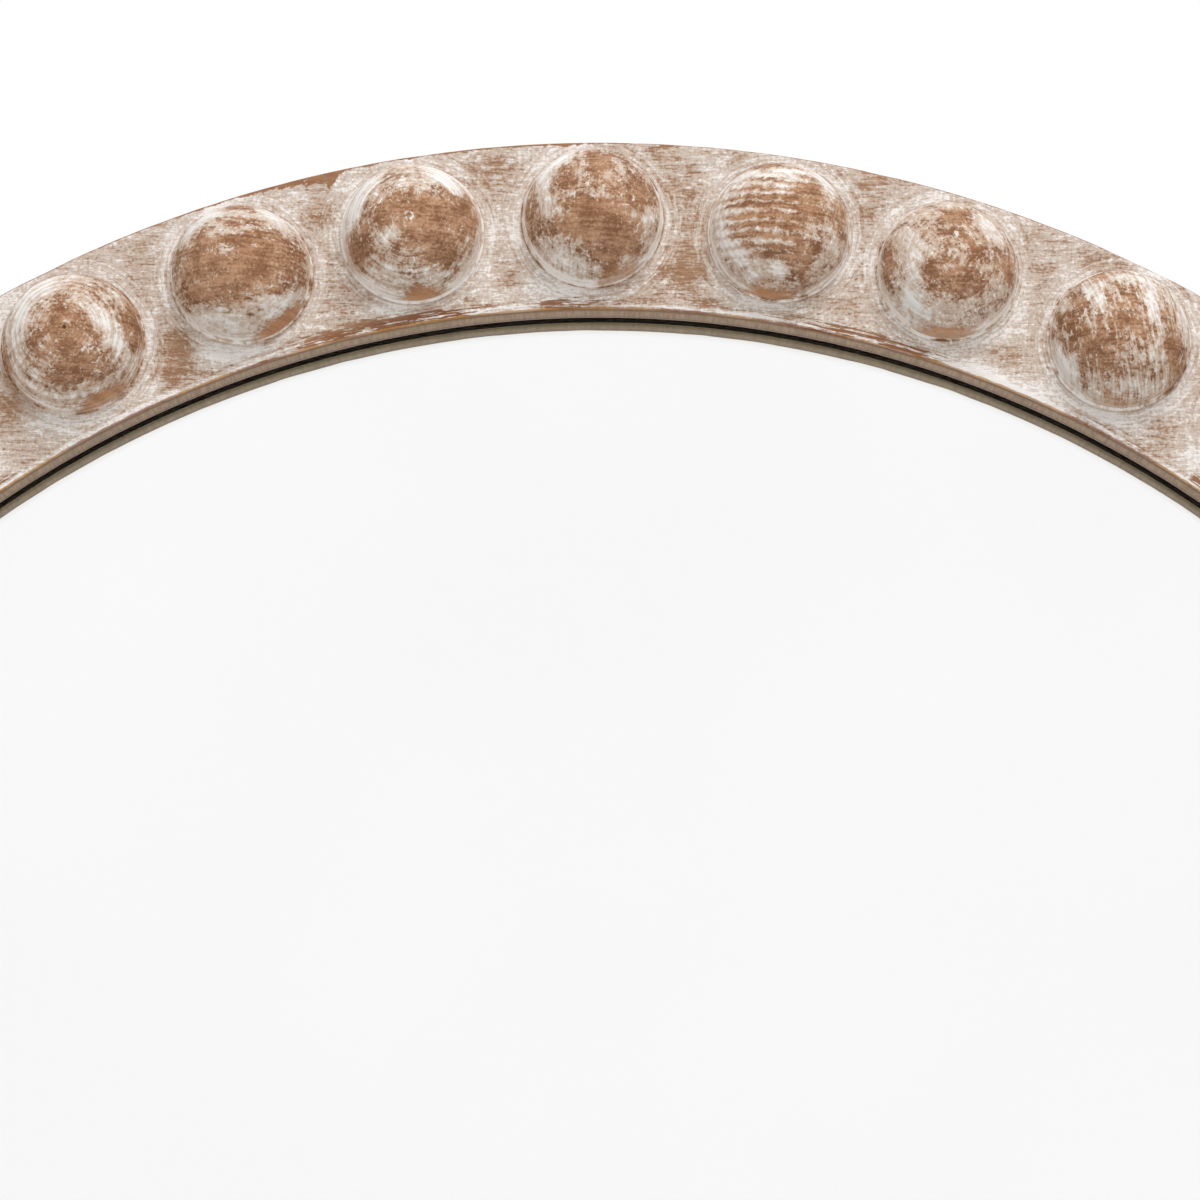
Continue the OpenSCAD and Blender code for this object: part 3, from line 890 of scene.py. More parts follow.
def paint_patches():
    """The listed patches, and others like them on the rest of the ring."""
    chosen = list(HAND_PATCHES)
    draw = random.Random(PATCH_SEED)
    for _ in range(PATCHES_ELSEWHERE):
        angle = math.radians(draw.uniform(HAND_REACH, 360 - HAND_REACH))
        r = draw.uniform(*PATCH_RADII)
        chosen.append((r * math.sin(angle), r * math.cos(angle), draw.uniform(5, 14), draw.uniform(3, 13), 0,
                       draw.choice((-0.45, -0.38, -0.30, 0.30, 0.35))))
    return [(x * MM, z * MM, dx * MM, dz * MM, turn, amount) for x, z, dx, dz, turn, amount in chosen]


def patch_load(x, z, patches):
    """What soft ovals of more or less paint add up to at a place."""
    total = 0
    for px, pz, half_x, half_z, turn, amount in patches:
        c, s = math.cos(math.radians(turn)), math.sin(math.radians(turn))
        along = ((x - px) * c + (z - pz) * s) / half_x
        across = ((z - pz) * c - (x - px) * s) / half_z
        away = along * along + across * across
        if away < PATCH_END:
            total += amount * math.exp(-away)
    return total


def from_knots(knots, angle):
    """A value at an angle, between knots of angle and value."""
    for (start, first), (end, last) in zip(knots, knots[1:]):
        if start <= angle <= end:
            return first + (last - first) * (angle - start) / (end - start)
    raise ValueError(f"No knot for {angle} degrees")


def rise(value, low, high):
    """A smooth step from 0 at low to 1 at high. High may be the smaller one."""
    t = max(0, min(1, (value - low) / (high - low)))
    return t * t * (3 - 2 * t)


class MIRROR_OT_front_board(bpy.types.Operator):
    """Builds the front board: a flat ring with worn edges, and how the paint lies on it."""

    bl_idname = "bobbin_mirror.front_board"
    bl_label = "Front board"

    def execute(self, context):
        settings = context.scene.bobbin_mirror
        sizes = settings.ring
        r = sizes.edge_r
        back_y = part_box("front_ring")[1].y
        inner_back, outer_back = (OPENING_R, back_y), (OUTER_R, back_y)
        inner_arc = arc((OPENING_R + r, FRONT_Y + r), r, 180, 270, 4)
        outer_arc = arc((OUTER_R - r, FRONT_Y + r), r, 270, 360, 4)
        profile = ([inner_back] + line(inner_back, inner_arc[0], sizes.wall_steps) + inner_arc
                   + line(inner_arc[-1], outer_arc[0], sizes.face_steps)
                   + outer_arc + line(outer_arc[-1], outer_back, sizes.wall_steps) + [outer_back])
        bm = spun(profile, sizes.steps, closed=True)
        self.wear(bm, sizes)
        self.lay_paint(bm)
        piece_from(bm, "front_board", "frame", whitewashed_board(settings.colours),
                   ["front_ring"])
        return {"FINISHED"}

    def wear(self, bm, sizes):
        """Dents the front edges and ripples the face, always into the wood."""
        for vert in bm.verts:
            co = vert.co
            radius = from_axis(co)
            edge = 1 - rise(min(radius - OPENING_R, OUTER_R - radius), 0, DENT_BAND)
            front = 1 - rise(co.y - FRONT_Y, 0, DENT_BAND)
            dent = max(0, noise.noise(co * 70) + 0.3 * noise.noise(co * 260) + 0.1)
            inward = 1 if radius < MIDDLE_R else -1
            share = 1 + inward * 0.5 * edge * front * dent * sizes.edge_wear / radius
            ripple = sizes.ripple * (1 + noise.noise(co * 16)) / 2
            vert.co = (co.x * share, co.y + front * (edge * dent * sizes.edge_wear + ripple), co.z * share)

    def lay_paint(self, bm):
        """Writes how far each point lies from a bobbin, how much paint it took and how bare its edge is."""
        patches = paint_patches()
        bobbin_tree = near_tree([centre for centre, _ in FEET.values()])
        patch_tree = near_tree([patch[:2] for patch in patches])
        from_bobbin = bm.verts.layers.float.new("from_bobbin")
        paint_load = bm.verts.layers.float.new("paint_load")
        edge_bare = bm.verts.layers.float.new("edge_bare")
        for vert in bm.verts:
            co = vert.co
            flat = (co.x, 0, co.z)
            gap = bobbin_tree.find(flat)[2] - FOOT_R
            close = [patches[i] for _, i, _ in patch_tree.find_range(flat, PATCH_REACH)]
            load = (0.50 + 0.18 * noise.noise(co * 22) + 0.20 * noise.noise(co * 60)
                    + 0.14 * rise(gap, 8 * MM, 2 * MM) - 0.09 * rise(gap, 8 * MM, 14 * MM))
            vert[from_bobbin] = gap
            vert[paint_load] = load + 0.65 * patch_load(co.x, co.z, close)
            vert[edge_bare] = self.bareness(co)

    def bareness(self, co):
        """How bare the nearer edge is at a place."""
        angle = math.degrees(angle_of(co))
        if abs(angle) <= HAND_REACH:
            return from_knots(HAND_OUTER_EDGE if from_axis(co) > MIDDLE_R else HAND_INNER_EDGE, angle)
        return max(0.15, min(1, 0.5 + 1.2 * noise.noise(co * 14)))


# The bobbins

# Brush strokes of more or less paint on the bobbins that show most, by number: ovals as on the ring, in
# shares of the bobbin's radius. The ovals of less paint far out on the flanks, such as on the left of 39 and
# 1, bare darker wood where the flanks lie in shade, so they are painted shade as well as rubbed paint.
HAND_STROKES = {
    37: ((0, 0, 0.40, 0.38, 0, -0.30), (0.19, -0.55, 0.36, 0.20, 15, -0.40),
         (-0.68, -0.25, 0.14, 0.40, 0, 0.35), (0.50, 0.15, 0.36, 0.13, -55, 0.50),
         (0.86, 0.22, 0.12, 0.50, 0, -0.60), (-0.45, 0.55, 0.50, 0.22, 40, 0.40),
         (-0.66, 0.12, 0.14, 0.30, 0, 0.30), (0.80, -0.25, 0.10, 0.28, 15, 0.40),
         (-0.90, -0.30, 0.10, 0.35, 10, -0.45), (-0.30, -0.85, 0.30, 0.10, -20, 0.20)),
    38: ((0, -0.05, 0.95, 0.50, 0, -0.52), (-0.17, 0.12, 0.14, 0.11, 0, 0.70),
         (-0.25, 0.42, 0.14, 0.10, 0, 0.50), (0.12, 0.45, 0.24, 0.07, 15, 0.40),
         (-0.44, -0.50, 0.25, 0.10, -15, -0.45), (0.60, -0.62, 0.28, 0.09, 45, 0.50),
         (-0.52, 0.70, 0.42, 0.15, 45, 0.60), (-0.25, -0.80, 0.50, 0.15, -22, 0.50),
         (0.35, -0.60, 0.38, 0.11, 25, 0.35), (-0.05, 0.88, 0.22, 0.08, 0, -0.55),
         (0.52, 0.68, 0.36, 0.14, -45, 0.55), (0, 0.66, 0.45, 0.10, 0, 0.25)),
    39: ((0.15, 0.02, 0.60, 0.46, 0, -0.45), (0.80, 0.20, 0.20, 0.30, 10, -0.50),
         (-0.70, 0.38, 0.15, 0.42, -25, 0.60), (-0.10, -0.75, 0.60, 0.12, 0, 0.30),
         (-0.86, 0.05, 0.10, 0.25, 0, 0.45), (0.10, 0.45, 0.45, 0.16, 0, 0.22),
         (-0.28, -0.28, 0.20, 0.15, 0, 0.65), (-0.76, -0.36, 0.18, 0.24, 20, -0.60),
         (0.45, -0.48, 0.20, 0.20, 0, -0.40), (0.47, 0.64, 0.34, 0.13, -45, 0.85),
         (0.05, 0.62, 0.60, 0.12, 0, 0.30)),
    1: ((0.03, -0.30, 0.62, 0.26, 0, -0.60), (0.03, -0.02, 0.34, 0.16, 0, -0.30),
        (0.32, -0.66, 0.36, 0.16, 25, -0.50),
        (0.10, 0.68, 0.26, 0.28, 0, -0.55), (-0.66, 0.25, 0.08, 0.48, 5, 0.45),
        (0.80, -0.15, 0.09, 0.32, 0, 0.35), (0.10, 0.06, 0.28, 0.06, 0, 0.45),
        (-0.50, 0.66, 0.30, 0.13, 40, 0.50), (0.70, 0.22, 0.20, 0.24, 0, -0.55),
        (-0.32, -0.72, 0.38, 0.14, -30, 0.35), (-0.14, 0.55, 0.05, 0.30, -8, 0.35),
        (0.42, 0.50, 0.06, 0.35, 25, 0.35), (-0.88, -0.05, 0.08, 0.35, 0, -0.50),
        (-0.42, 0.35, 0.10, 0.25, 0, -0.30)),
    2: ((0.40, 0.32, 0.20, 0.38, 0, -0.45), (0.85, 0.15, 0.10, 0.42, 0, -0.50),
        (-0.22, 0.86, 0.16, 0.09, 0, -0.80), (-0.05, 0.70, 0.36, 0.09, 0, 0.60),
        (-0.66, -0.45, 0.42, 0.11, -51, 0.40), (-0.05, -0.72, 0.24, 0.09, -10, 0.45),
        (0.28, -0.62, 0.18, 0.22, 0, -0.50), (-0.10, -0.05, 0.55, 0.42, 0, -0.30),
        (0.50, -0.20, 0.16, 0.16, 0, 0.25), (0.62, 0.66, 0.34, 0.13, -45, 0.70),
        (-0.86, -0.05, 0.10, 0.35, 5, 0.50), (0.05, 0.45, 0.50, 0.18, 0, 0.22),
        (-0.50, 0.70, 0.30, 0.12, 45, 0.30)),
    3: ((-0.55, -0.05, 0.14, 0.42, 0, 0.50), (0.54, 0.42, 0.34, 0.11, -52, 0.55),
        (0.12, 0.58, 0.18, 0.24, 0, -0.50), (-0.88, 0.02, 0.10, 0.38, 0, -0.60),
        (0.82, -0.05, 0.12, 0.32, 0, -0.55), (0.05, -0.38, 0.50, 0.18, -20, -0.35),
        (-0.50, -0.62, 0.30, 0.11, -40, 0.35), (0.32, 0.10, 0.20, 0.14, -40, -0.35),
        (0.30, -0.62, 0.30, 0.10, 30, 0.30)),
    4: ((-0.45, -0.30, 0.28, 0.42, 0, -0.40), (0.02, 0.05, 0.26, 0.36, 0, -0.40),
        (-0.78, -0.50, 0.48, 0.11, -57, 0.50), (0.10, -0.80, 0.34, 0.09, 0, 0.30),
        (0.10, -0.42, 0.16, 0.12, 0, 0.30), (-0.25, 0.86, 0.35, 0.11, 15, -0.40),
        (-0.42, 0.46, 0.11, 0.32, 15, 0.50), (0.36, 0.36, 0.12, 0.36, 12, 0.50),
        (0.12, 0.74, 0.30, 0.12, 0, 0.30), (0.88, 0.15, 0.08, 0.30, 0, 0.40),
        (0.72, -0.36, 0.16, 0.30, 10, -0.65), (-0.78, 0.22, 0.12, 0.30, -25, -0.40)),
}
# How a bobbin was worked: how far its crown is rubbed, how much of the brush's ripples, of the lathe's rings
# and of the brush's streaks shows, the brush's angle, the angle of the bare crescent from straight down,
# towards +X, in degrees, its half width in shares of the bobbin's radius, how bare it is, and how dark the
# pin mark is.
Work = namedtuple("Work", "rub ripples rings streaks brush missed missed_w bare pin")
HAND_WORK = {
    37: Work(0.06, 0, 0.60, 0.25, 40, 33, 0.50, 0.8, 0.9),
    38: Work(0.10, 0, 0.10, 0.40, -4, 38, 0.42, 1, 0),
    39: Work(0.12, 0, 0.60, 0.20, 60, 11, 0.34, 0.9, 0),
    1: Work(0.07, 0, 0.15, 0.35, 86, 24, 0.36, 0.7, 0),
    2: Work(0.09, 0.9, 0.10, 0.30, -6, -8, 0.36, 0.9, 0),
    3: Work(0.05, 0, 0.30, 0.30, 120, -4, 0.46, 0.8, 0),
    4: Work(0.05, 0, 0.05, 0.85, 102, -8, 0.44, 0.45, 0),
}
WORK_SEED = 5
STROKES_DRAWN = 6
# Sanding starts this far above the foot, so that the joint stays closed.
SANDED_FROM = 2 * MM


def drawn_work(draw):
    """Strokes and workmanship like the listed ones, drawn at random."""
    strokes = []
    for _ in range(STROKES_DRAWN):
        a, r = draw.uniform(0, math.tau), draw.uniform(0.1, 0.85)
        strokes.append((r * math.cos(a), r * math.sin(a), draw.uniform(0.12, 0.45), draw.uniform(0.08, 0.20),
                        draw.uniform(-90, 90), draw.choice((-0.4, -0.3, 0.3, 0.4))))
    work = Work(rub=draw.uniform(0.05, 0.2), ripples=draw.choice((0, 0, 0, 0, 1)),
                rings=draw.uniform(0.05, 0.7), streaks=draw.uniform(0.15, 0.8),
                brush=draw.uniform(-90, 90), missed=draw.uniform(-25, 35),
                missed_w=draw.uniform(0.3, 0.5), bare=draw.uniform(0.3, 1),
                pin=draw.choice((0, 0, 0.3, 0.9)))
    return strokes, work


class MIRROR_OT_bobbins(bpy.types.Operator):
    """Turns the half-ball bobbins, each with its own sanding and finish."""

    bl_idname = "bobbin_mirror.bobbins"
    bl_label = "Bobbins"

    def execute(self, context):
        settings = context.scene.bobbin_mirror
        look = rubbed_bobbin(settings.colours)
        draw = random.Random(WORK_SEED)
        blank = self.turned(settings.bobbin)
        for node in BOBBIN_NODES:
            number = int(node[-2:])
            strokes, work = drawn_work(draw)
            bm = blank.copy()
            self.paint(bm, number, HAND_STROKES.get(number, strokes), HAND_WORK.get(number, work))
            self.sand(bm, settings.bobbin, number)
            x, z = FEET[node][0]
            bmesh.ops.translate(bm, verts=bm.verts, vec=(x, FRONT_Y, z))
            piece_from(bm, f"{node}_turned", "frame", look, [node], BOBBIN_SMOOTH_UP_TO)
        blank.free()
        return {"FINISHED"}

    def turned(self, sizes):
        """A half ball with its dowel hole, lathe ridges, pin mark and the bead of paint at its foot."""
        bead, pin_r = sizes.bead, sizes.pin_r
        sunk = 0.25 * MM
        foot = [(0, -sizes.bore_h), (sizes.bore_r, -sizes.bore_h), (sizes.bore_r, sunk),
                (FOOT_R + bead, sunk), (FOOT_R + 0.8 * bead, -0.05 * MM), (FOOT_R + 0.3 * bead, -0.45 * MM)]
        first = math.asin(1.3 * MM / FOOT_R)
        last = math.acos(2.2 * pin_r / FOOT_R)
        dome = []
        for k in range(sizes.dome_steps + 1):
            angle = first + (last - first) * k / sizes.dome_steps
            ridge = sizes.ridge * (math.sin(math.tau * angle * FOOT_R / sizes.ridge_gap) - 1)
            dome.append(((FOOT_R + ridge) * math.cos(angle), -(FOOT_R + ridge) * math.sin(angle)))
        top = dome[-1][1]
        pin_mark = [(1.5 * pin_r, top - 0.02 * MM), (1.05 * pin_r, top - 0.05 * MM),
                    (0.75 * pin_r, top + 0.15 * MM), (0.3 * pin_r, top + 0.45 * MM), (0, top + 0.5 * MM)]
        return spun(foot + dome + pin_mark, sizes.steps)

    def paint(self, bm, number, strokes, work):
        """Writes what the material needs to know of each point."""
        vectors, floats = bm.verts.layers.float_vector, bm.verts.layers.float
        turned, brushed = vectors.new("turned_place"), vectors.new("brushed_place")
        mix, crescent = vectors.new("finish_mix"), vectors.new("missed_place")
        paint_load, pin_mark = floats.new("paint_load"), floats.new("pin_mark")
        turn, low = math.radians(work.brush), math.radians(work.missed)
        missed_way = Vector((math.sin(low), -math.cos(low))) / (work.missed_w * FOOT_R)
        for vert in bm.verts:
            co = vert.co
            u, v = co.x / FOOT_R, co.z / FOOT_R
            load = 0.37 - work.rub + 0.16 * rise(math.hypot(u, v), 0.55, 0.93)
            rippled = work.ripples * math.exp(-((u + 0.25) / 0.65) ** 4 - ((v - 0.05) / 0.65) ** 4)
            vert[paint_load] = load + patch_load(u, v, strokes)
            vert[turned] = (co.x, co.z, -co.y)
            vert[brushed] = (co.x * math.cos(turn) + co.z * math.sin(turn),
                             co.z * math.cos(turn) - co.x * math.sin(turn), number * 0.13)
            vert[mix] = (rippled, work.rings, work.streaks)
            vert[crescent] = (*missed_way, work.bare)
            vert[pin_mark] = work.pin

    def sand(self, bm, sizes, number):
        """Sands flats on the dome by hand. The dowel's hole stays as it was bored."""
        seed = Vector((number * 1.7, number * 0.9, number * 2.3))
        for vert in bm.verts:
            co = vert.co
            outside = co.y < -SANDED_FROM and from_axis(co) > sizes.bore_r * 1.01
            if outside or co.y < -sizes.bore_h * 1.01:
                flat = sizes.sanding * max(0, noise.noise(co * 75 + seed))
                vert.co = co * (1 - flat / co.length)


# The glass

class MIRROR_OT_glass(bpy.types.Operator):
    """Makes the pane and the silver on its back."""

    bl_idname = "bobbin_mirror.glass"
    bl_label = "Glass"

    def execute(self, context):
        settings = context.scene.bobbin_mirror
        sizes = settings.behind
        r = sizes.ground
        low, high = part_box("mirror_glass")
        pane_r = reach("mirror_glass")[1]
        silver_y = high.y - sizes.silver_t
        # The pane ends inside the silver's thickness, so that light meets the silver first.
        pane_y = silver_y + sizes.silver_t / 2
        pane = ([(0, low.y)] + arc((pane_r - r, low.y + r), r, 270, 360, 2)
                + arc((pane_r - r, pane_y - r), r, 0, 90, 2) + [(0, pane_y)])
        piece_from(spun(pane, sizes.steps), "glass_pane", "frame", float_glass(settings.colours),
                   ["mirror_glass"], FACETED_FROM)
        silver = [(0, silver_y), (pane_r - r, silver_y), (pane_r - r, high.y), (0, high.y)]
        piece_from(spun(silver, sizes.steps), "silver_layer", "frame",
                   silvering(settings.colours))
        return {"FINISHED"}


# The boards behind

class MIRROR_OT_back_boards(bpy.types.Operator):
    """Saws the pocket board, the stand-off board and the backing panel."""

    bl_idname = "bobbin_mirror.back_boards"
    bl_label = "Back boards"

    def execute(self, context):
        settings = context.scene.bobbin_mirror
        sizes = settings.behind
        look = stained_board(settings.colours)
        for node, name in (("pocket_ring", "pocket_board"), ("stand_off_ring", "stand_off_board")):
            low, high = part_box(node)
            inner, outer = reach(node)
            bm = spun(soft_ring(inner, outer, low.y, high.y, sizes.arris), sizes.steps, closed=True)
            if node == "stand_off_ring":
                bm = cut_away(bm, self.screw_holes(sizes, low.y, high.y))
            piece_from(bm, name, "frame", look, [node])
        low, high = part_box("backing_board")
        rim = soft_rim(reach("backing_board")[1], low.y, high.y, sizes.arris)
        panel = spun([(0, low.y)] + rim + [(0, high.y)], sizes.steps)
        piece_from(panel, "backing_panel", "frame", hardboard(settings.colours),
                   ["backing_board"])
        return {"FINISHED"}

    def screw_holes(self, sizes, front, back):
        """The countersunk holes of the ring screws, as closed shapes."""
        head_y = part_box("ring_screws")[1].y
        cone_y = head_y - (sizes.long_head_r - sizes.long_screw_r)
        head_r, screw_r = sizes.long_head_r + sizes.screw_room, sizes.long_screw_r + sizes.screw_room
        profile = [(0, back + MM), (head_r, back + MM), (head_r, head_y), (screw_r, cone_y),
                   (screw_r, front - MM), (0, front - MM)]
        hole = spun(profile, SCREW_STEPS)
        return copies(hole, [Matrix.Translation((p.x, 0, p.z)) for p in ring_screw_places()])


# Screws, buttons and hangers

def cross_recess(width, length, depth):
    """The closed shape of a cross recess, from above z = 0 down to its narrower bottom."""
    w, l = width / 2, length / 2
    arm = [(l, -w), (l, w), (w, w)]
    turns = ((1, 0), (0, 1), (-1, 0), (0, -1))
    bm = plate([(x * c - y * s, x * s + y * c) for c, s in turns for x, y in arm], 1.3 * depth)
    bottom = [v for v in bm.verts if v.co.z < depth / 2]
    bmesh.ops.scale(bm, vec=(0.55, 0.55, 1), verts=bottom)
    bmesh.ops.translate(bm, verts=bm.verts, vec=(0, 0, -depth))
    return bm


def upright(profile):
    """Points (radius, height) turned all the way round Z."""
    bm = spun(profile, SCREW_STEPS)
    bmesh.ops.rotate(bm, verts=bm.verts, cent=ORIGIN, matrix=Matrix.Rotation(math.pi / 2, 3, "X"))
    return bm


def pan_screw(sizes, length):
    """A pan-headed screw with its head on z = 0, a cross recess and a thread on its shank."""
    r, head, h, pitch = sizes.screw_r, sizes.head_r, sizes.head_h, sizes.screw_pitch
    shank = [(0, -length), (0.25 * r, -length + 0.2 * MM)]
    for k in reversed(range(int((length - 2.5 * r) / pitch))):
        z = -0.4 * MM - k * pitch
        shank += [(0.78 * r, z - 0.9 * pitch), (r, z - 0.45 * pitch), (0.78 * r, z)]
    shank += [(0.9 * r, 0), (0.96 * head, 0)]
    dome = [(head * math.cos(a), 0.35 * h + 0.65 * h * math.sin(a))
            for a in (math.radians(90 * k / 8) for k in range(8))]
    recess = cross_recess(0.95 * MM, 4.4 * MM, 1.5 * MM)
    bmesh.ops.translate(recess, verts=recess.verts, vec=(0, 0, h))
    return cut_away(upright(shank + dome + [(0, h)]), recess)


def flat_screw(sizes, length):
    """A countersunk screw with its head's top at z = 0, a cross recess and a plain shank below."""
    r, head = sizes.long_screw_r, sizes.long_head_r
    profile = [(0, -length), (r, -length + 2 * r), (r, r - head), (head, -0.15 * MM),
               (head - 0.12 * MM, 0), (0, 0)]
    return cut_away(upright(profile), cross_recess(1.05 * MM, 4.8 * MM, 2.0 * MM))


class MIRROR_OT_ring_screws(bpy.types.Operator):
    """Drives the countersunk screws through the three boards."""

    bl_idname = "bobbin_mirror.ring_screws"
    bl_label = "Ring screws"

    def execute(self, context):
        settings = context.scene.bobbin_mirror
        low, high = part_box("ring_screws")
        # A screw's head is towards the wall, so its own Z is the world's Y.
        stand = Matrix.Rotation(-math.pi / 2, 4, "X")
        places = [Matrix.Translation((p.x, high.y, p.z)) @ stand for p in ring_screw_places()]
        turned = [place @ Matrix.Rotation(0.7 * i, 4, "Z") for i, place in enumerate(places)]
        screws = copies(flat_screw(settings.behind, high.y - low.y), turned)
        piece_from(screws, "board_screws", "frame", yellow_zinc(settings.colours),
                   ["ring_screws"])
        return {"FINISHED"}


class MIRROR_OT_turn_buttons(bpy.types.Operator):
    """Presses the turn buttons, and drives their screws."""

    bl_idname = "bobbin_mirror.turn_buttons"
    bl_label = "Turn buttons"

    def execute(self, context):
        settings = context.scene.bobbin_mirror
        sizes = settings.behind
        places = []
        for node in BUTTON_NODES:
            number = node.rsplit("_", 1)[1]
            place = on_ledge(angle_of(Vector(joint_place(f"{node}_turn"))))
            places.append(place)
            bm = self.button(sizes)
            bmesh.ops.transform(bm, matrix=place, verts=bm.verts)
            piece_from(bm, f"turn_plate_{number}", f"button_{number}",
                       pressed_zinc(settings.colours), [node], FACETED_FROM)
        head_z = sizes.button_t + 2 * sizes.button_gap
        lift = Matrix.Translation((0, 0, head_z))
        turned = [place @ lift @ Matrix.Rotation(1.1 * i, 4, "Z") for i, place in enumerate(places)]
        screws = copies(pan_screw(sizes, sizes.screw_bite + head_z), turned)
        piece_from(screws, "turn_plate_screws", "frame", bright_zinc(settings.colours),
                   ["turn_button_screws"])
        return {"FINISHED"}

    def button(self, sizes):
        """A flat button with round ends, a hole for its screw and a pressed rib along its middle."""
        half, rib_r = sizes.button_w / 2, 1.3 * MM
        far = sizes.button_reach - half
        outline = arc((0, 0), half, 180, 360, 14) + arc((0, far), half, 0, 180, 14)
        bm = plate(outline, sizes.button_t, [(0, 0, sizes.screw_r + sizes.button_gap)])
        round_rims(bm, 0.3 * MM)
        rib = plate(arc((0, far * 0.48), rib_r, 180, 360, 6) + arc((0, far), rib_r, 0, 180, 6), 0.55 * MM)
        round_rims(rib, 0.25 * MM)
        bmesh.ops.translate(rib, verts=rib.verts, vec=(0, 0, sizes.button_t - 0.05 * MM))
        take_in(bm, rib)
        bmesh.ops.translate(bm, verts=bm.verts, vec=(0, 0, sizes.button_gap))
        return bm


class MIRROR_OT_hangers(bpy.types.Operator):
    """Makes the two hangers: a curled strap, its wire ring and its screws."""

    bl_idname = "bobbin_mirror.hangers"
    bl_label = "Hangers"

    def execute(self, context):
        settings = context.scene.bobbin_mirror
        sizes = settings.behind
        places = []
        for side, sign in SIDES.items():
            place = on_ledge(sizes.hanger_turn, sign)
            strap = self.strap(sizes)
            bmesh.ops.transform(strap, matrix=place, verts=strap.verts)
            piece_from(strap, f"strap_{side}", "frame", pressed_zinc(settings.colours),
                       [f"hanger_strap_{side}"], FACETED_FROM)
            wire = self.wire(sizes)
            bmesh.ops.transform(wire, matrix=place, verts=wire.verts)
            piece_from(wire, f"wire_loop_{side}", f"ring_{side}",
                       nickel_wire(settings.colours), [f"hanger_ring_{side}"])
            places += [place @ Matrix.Translation((x, 0, sizes.strap_t))
                       for x, _, _ in self.screw_spots(sizes)]
        turned = [place @ Matrix.Rotation(0.8 + 1.3 * i, 4, "Z") for i, place in enumerate(places)]
        screws = copies(pan_screw(sizes, sizes.screw_bite + sizes.strap_t), turned)
        piece_from(screws, "strap_screws", "frame", bright_zinc(settings.colours),
                   ["hanger_screws"])
        return {"FINISHED"}

    def screw_spots(self, sizes):
        """The strap's screw holes, as (x, y, radius)."""
        first = sizes.strap_screw_from - sizes.strap_l / 2
        return [(x, 0, sizes.screw_r + sizes.screw_room) for x in (first, first + sizes.strap_screw_gap)]

    def strap(self, sizes):
        """A plate with one round end, whose other end is curled about the ring's bar."""
        half, near = sizes.strap_w / 2, -sizes.strap_l / 2
        outline = [(near, half), (near, -half)] + arc((-near - half, 0), half, -90, 90, 14)
        bm = plate(outline, sizes.strap_t, self.screw_spots(sizes))
        sharp = {e for f in self.end_of(bm, near) for e in f.edges}
        round_rims(bm, 0.22 * MM, keep=lambda edge: edge not in sharp)
        end = self.end_of(bm, near)
        bmesh.ops.spin(bm, geom=end, cent=(near, 0, sizes.knuckle_r), axis=ALONG_Y, dvec=ORIGIN,
                       angle=sizes.curl, steps=30, use_merge=False, use_duplicate=False)
        bmesh.ops.delete(bm, geom=end, context="FACES_ONLY")
        return bm

    def end_of(self, bm, x):
        """The faces that stand at an end of the plate."""
        return [f for f in bm.faces if all(abs(v.co.x - x) < 0.001 * MM for v in f.verts)]

    def wire(self, sizes):
        """A D-shaped ring of wire: its bar, two bends, two legs and a round bow."""
        x, z, bend = -sizes.strap_l / 2, sizes.knuckle_r, sizes.bend_r
        bar = sizes.loop_w / 2 + sizes.wire_r - bend
        leg = sizes.bow_from - bend
        bm = bmesh.new()
        start = Matrix.Translation((x, -bar, z)) @ Matrix.Rotation(math.pi / 2, 4, "X")
        bmesh.ops.create_circle(bm, cap_ends=False, radius=sizes.wire_r, segments=20, matrix=start)
        end = self.straight(bm, bm.edges[:], (0, 2 * bar, 0), 4)
        end = self.bent(bm, end, (x + bend, bar, z), -90, 8)
        end = self.straight(bm, end, (leg, 0, 0), 1)
        end = self.bent(bm, end, (x + sizes.bow_from, 0, z), -180, 28)
        end = self.straight(bm, end, (-leg, 0, 0), 1)
        self.bent(bm, end, (x + bend, -bar, z), -90, 8)
        bmesh.ops.remove_doubles(bm, verts=bm.verts, dist=0.01 * MM)
        return bm

    def straight(self, bm, end, way, steps):
        """Draws the wire's open end out along a straight way, and gives its new end."""
        for _ in range(steps):
            made = bmesh.ops.extrude_edge_only(bm, edges=end)["geom"]
            bmesh.ops.translate(bm, verts=of_kind(made, bmesh.types.BMVert), vec=[c / steps for c in way])
            end = [e for e in of_kind(made, bmesh.types.BMEdge) if len(e.link_faces) == 1]
        return end

    def bent(self, bm, end, centre, degrees, steps):
        """Bends the wire's open end on round a centre, and gives its new end."""
        made = bmesh.ops.spin(bm, geom=end, cent=centre, axis=ALONG_Z, dvec=ORIGIN,
                              angle=math.radians(degrees), steps=steps, use_merge=False,
                              use_duplicate=False)
        return of_kind(made["geom_last"], bmesh.types.BMEdge)


class MIRROR_OT_dowels(bpy.types.Operator):
    """Gives the bobbins' dowels their wood."""

    bl_idname = "bobbin_mirror.dowels"
    bl_label = "Dowels"

    def execute(self, context):
        dowels = frame["nodes"]["bobbin_dowels"]
        dowels.data.materials.clear()
        dowels.data.materials.append(dowel_beech(context.scene.bobbin_mirror.colours))
        return {"FINISHED"}


# The stage

